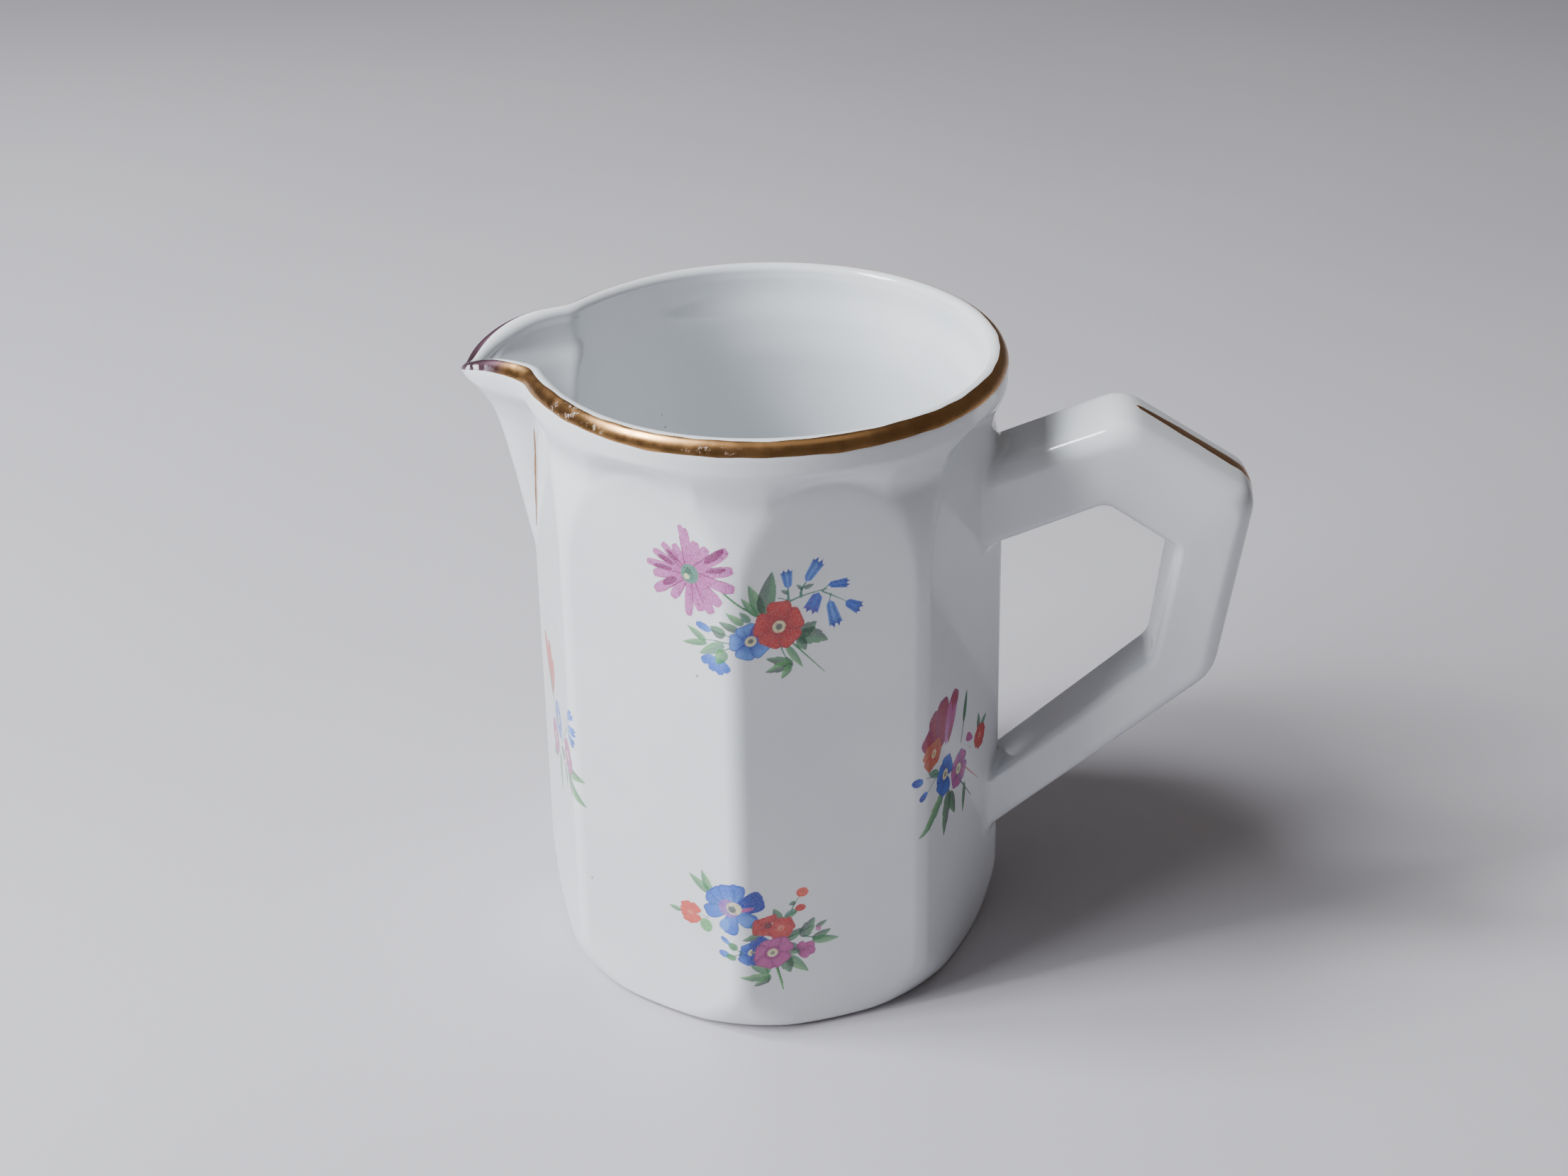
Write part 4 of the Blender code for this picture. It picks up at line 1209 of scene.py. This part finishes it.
def enamel():
    shading = Shading("printed_enamel")
    shading.set(IOR=1.52)
    paint = shading.attribute("ink")
    strength = shading.remap(shading.noise(5200.0, 2.0, 0.7), 0.30, 0.62, 0.88, 1.0)
    cover = shading.math("MULTIPLY", paint.outputs["Alpha"], strength)
    deeper = shading.blend(shading.remap(shading.noise(2600.0, 2.0), 0.45, 0.75, 0.0, 0.18),
                           paint.outputs["Color"], (0.12, 0.06, 0.14))
    colour = shading.blend(cover, glaze_colour(shading), deeper)
    shading.set(Base_Color=colour)
    rough = shading.remap(paint.outputs["Alpha"], 0.0, 1.0, 0.09, 0.17)
    shading.set(Roughness=rough)
    shading.bump(shading.noise(110.0, 2.0), 0.12, 0.0004)
    return shading.material


def gold():
    """Burnished gold that is scratched and browned, and purple where it is thin."""
    shading = Shading("worn_gold_lustre")
    finish = shading.attribute("finish").outputs
    paint = shading.channels(finish["Color"])
    lustre, across, bare = paint["Red"], paint["Green"], paint["Blue"]
    tone = shading.blend(shading.remap(shading.noise(90.0, 4.0), 0.35, 0.7),
                         (0.66, 0.37, 0.15), (0.54, 0.285, 0.12))
    tone = shading.blend(lustre, tone, (0.25, 0.14, 0.18))
    scratch = shading.remap(shading.noise(900.0, 5.0, 0.75), 0.55, 0.62)
    patch = shading.remap(shading.noise(75.0, 3.0), 0.60, 0.68)
    middle = shading.math("MULTIPLY", shading.remap(across, 0.08, 0.22),
                          shading.remap(across, 0.62, 0.45))
    scuffed = shading.math("MULTIPLY", finish["Alpha"], middle)
    worn = shading.math("MULTIPLY", scratch, shading.math("MAXIMUM", patch, scuffed))
    low_edge = shading.remap(across, 0.50, 0.34)
    rubbed = shading.math("MULTIPLY", shading.math("MULTIPLY", bare, low_edge),
                          shading.remap(shading.noise(700.0, 3.0), 0.42, 0.50))
    gone = shading.math("MAXIMUM", worn, rubbed)
    shading.set(Base_Color=shading.blend(gone, tone, (0.72, 0.70, 0.70)))
    shading.set(Metallic=shading.math("SUBTRACT", 1.0, gone))
    rough = shading.remap(shading.noise(420.0, 4.0), 0.3, 0.75, 0.24, 0.36)
    rough = shading.math("MAXIMUM", rough, shading.math("MULTIPLY", lustre, 0.42))
    shading.set(Roughness=rough)
    shading.bump(shading.noise(600.0, 3.0), 0.05, 0.0001)
    return shading.material


def table_top():
    shading = Shading("pale_table")
    tint = shading.blend(shading.remap(shading.noise(3.0, 3.0), 0.3, 0.7),
                         (0.60, 0.585, 0.61), (0.56, 0.545, 0.575))
    shading.set(Base_Color=tint, Roughness=0.42)
    shading.bump(shading.noise(1500.0, 2.0), 0.04, 0.0002)
    return shading.material


# ---------------------------------------------------------------- room

CAMERA_AT = (32.18, -239.52, 196.08)
CAMERA_LOOKS_AT = (2.73, 0.335, 58.58)
CAMERA_ROLL = -0.0155
CAMERA_LENS = 40.69


def to_world(point):
    return Vector((point[0] * MM + AXIS_X, point[1] * MM, point[2] * MM))


def make_camera():
    data = bpy.data.cameras.new("camera")
    data.sensor_width = 36.0
    data.lens = CAMERA_LENS
    data.clip_start = 0.01
    data.clip_end = 20.0
    camera = bpy.data.objects.new("camera", data)
    bpy.context.scene.collection.objects.link(camera)
    here, there = to_world(CAMERA_AT), to_world(CAMERA_LOOKS_AT)
    forward = (there - here).normalized()
    right = forward.cross(Vector((0, 0, 1))).normalized()
    up = right.cross(forward)
    right = right * math.cos(CAMERA_ROLL) + up * math.sin(CAMERA_ROLL)
    up = right.cross(forward)
    turn = Matrix((right, up, -forward)).transposed().to_4x4()
    camera.matrix_world = Matrix.Translation(here) @ turn
    bpy.context.scene.camera = camera


def make_light(name, location, target, width, height, power, colour, mirrored=True):
    data = bpy.data.lights.new(name, "AREA")
    data.shape = "RECTANGLE"
    data.size, data.size_y = width, height
    data.energy = power
    data.color = colour
    light = bpy.data.objects.new(name, data)
    light.visible_glossy = mirrored
    bpy.context.scene.collection.objects.link(light)
    way = Vector(target) - Vector(location)
    light.matrix_world = (Matrix.Translation(Vector(location))
                          @ way.to_track_quat("-Z", "Y").to_matrix().to_4x4())


def make_room():
    reach = 3.0
    mesh = bpy.data.meshes.new("table_top")
    corners = [(-reach, -reach, 0), (reach, -reach, 0), (reach, reach, 0), (-reach, reach, 0)]
    mesh.from_pydata(corners, [], [(0, 1, 2, 3)])
    mesh.materials.append(table_top())
    floor = bpy.data.objects.new("table_top", mesh)
    bpy.context.scene.collection.objects.link(floor)
    aim = (0, 0, 0.05)
    cool = (0.92, 0.95, 1.0)
    make_light("window", (-0.85, -0.42, 0.50), aim, 0.55, 0.70, 14.0, cool, False)
    make_light("left_pane", (-0.68, -0.26, 0.86), aim, 0.15, 0.30, 9.0, cool)
    make_light("right_pane", (-0.60, -0.04, 0.95), aim, 0.15, 0.30, 8.0, cool)
    make_light("ceiling", (0.1, -0.2, 1.4), aim, 1.2, 0.9, 1.2, (1.0, 0.96, 0.93))
    world = bpy.data.worlds.new("soft_room")
    world.use_nodes = True
    sky = world.node_tree.nodes["Background"]
    sky.inputs["Color"].default_value = (0.74, 0.68, 0.68, 1.0)
    sky.inputs["Strength"].default_value = 0.13
    bpy.context.scene.world = world


def build():
    make_camera()
    make_room()
    china = porcelain()
    gilt = gold()
    print_ink = enamel()
    make_body(china)
    rings = handle_rings()
    make_handle(china, rings)
    make_fillet("upper_slip_fillet", china, rings, "upper", "upper_slip_joint")
    make_fillet("lower_slip_fillet", china, rings, "lower", "lower_slip_joint")
    make_rim_gilding(gilt)
    make_handle_gilding(gilt, rings)
    make_spout_gilding("front_spout_line", gilt, 1, "spout_gilding_front")
    make_spout_gilding("back_spout_line", gilt, -1, "spout_gilding_back")
    upper, lower = paint_upper(), paint_lower()
    handle_side, spout_side = paint_handle_side(), paint_spout_side()
    sprays = [("front_upper", upper, -87.0, 74.6), ("front_lower", lower, -87.0, 19.5),
              ("front_handle_side", handle_side, -27.0, 44.0),
              ("front_spout_side", spout_side, -151.0, 45.0),
              ("back_upper", upper, 93.0, 74.6), ("back_lower", lower, 93.0, 19.5),
              ("back_handle_side", spout_side, 29.0, 45.0),
              ("back_spout_side", handle_side, 153.0, 44.0)]
    for name, art, middle, centre_z in sprays:
        make_spray(name + "_flowers", art, middle, centre_z, print_ink, name + "_spray")


build()
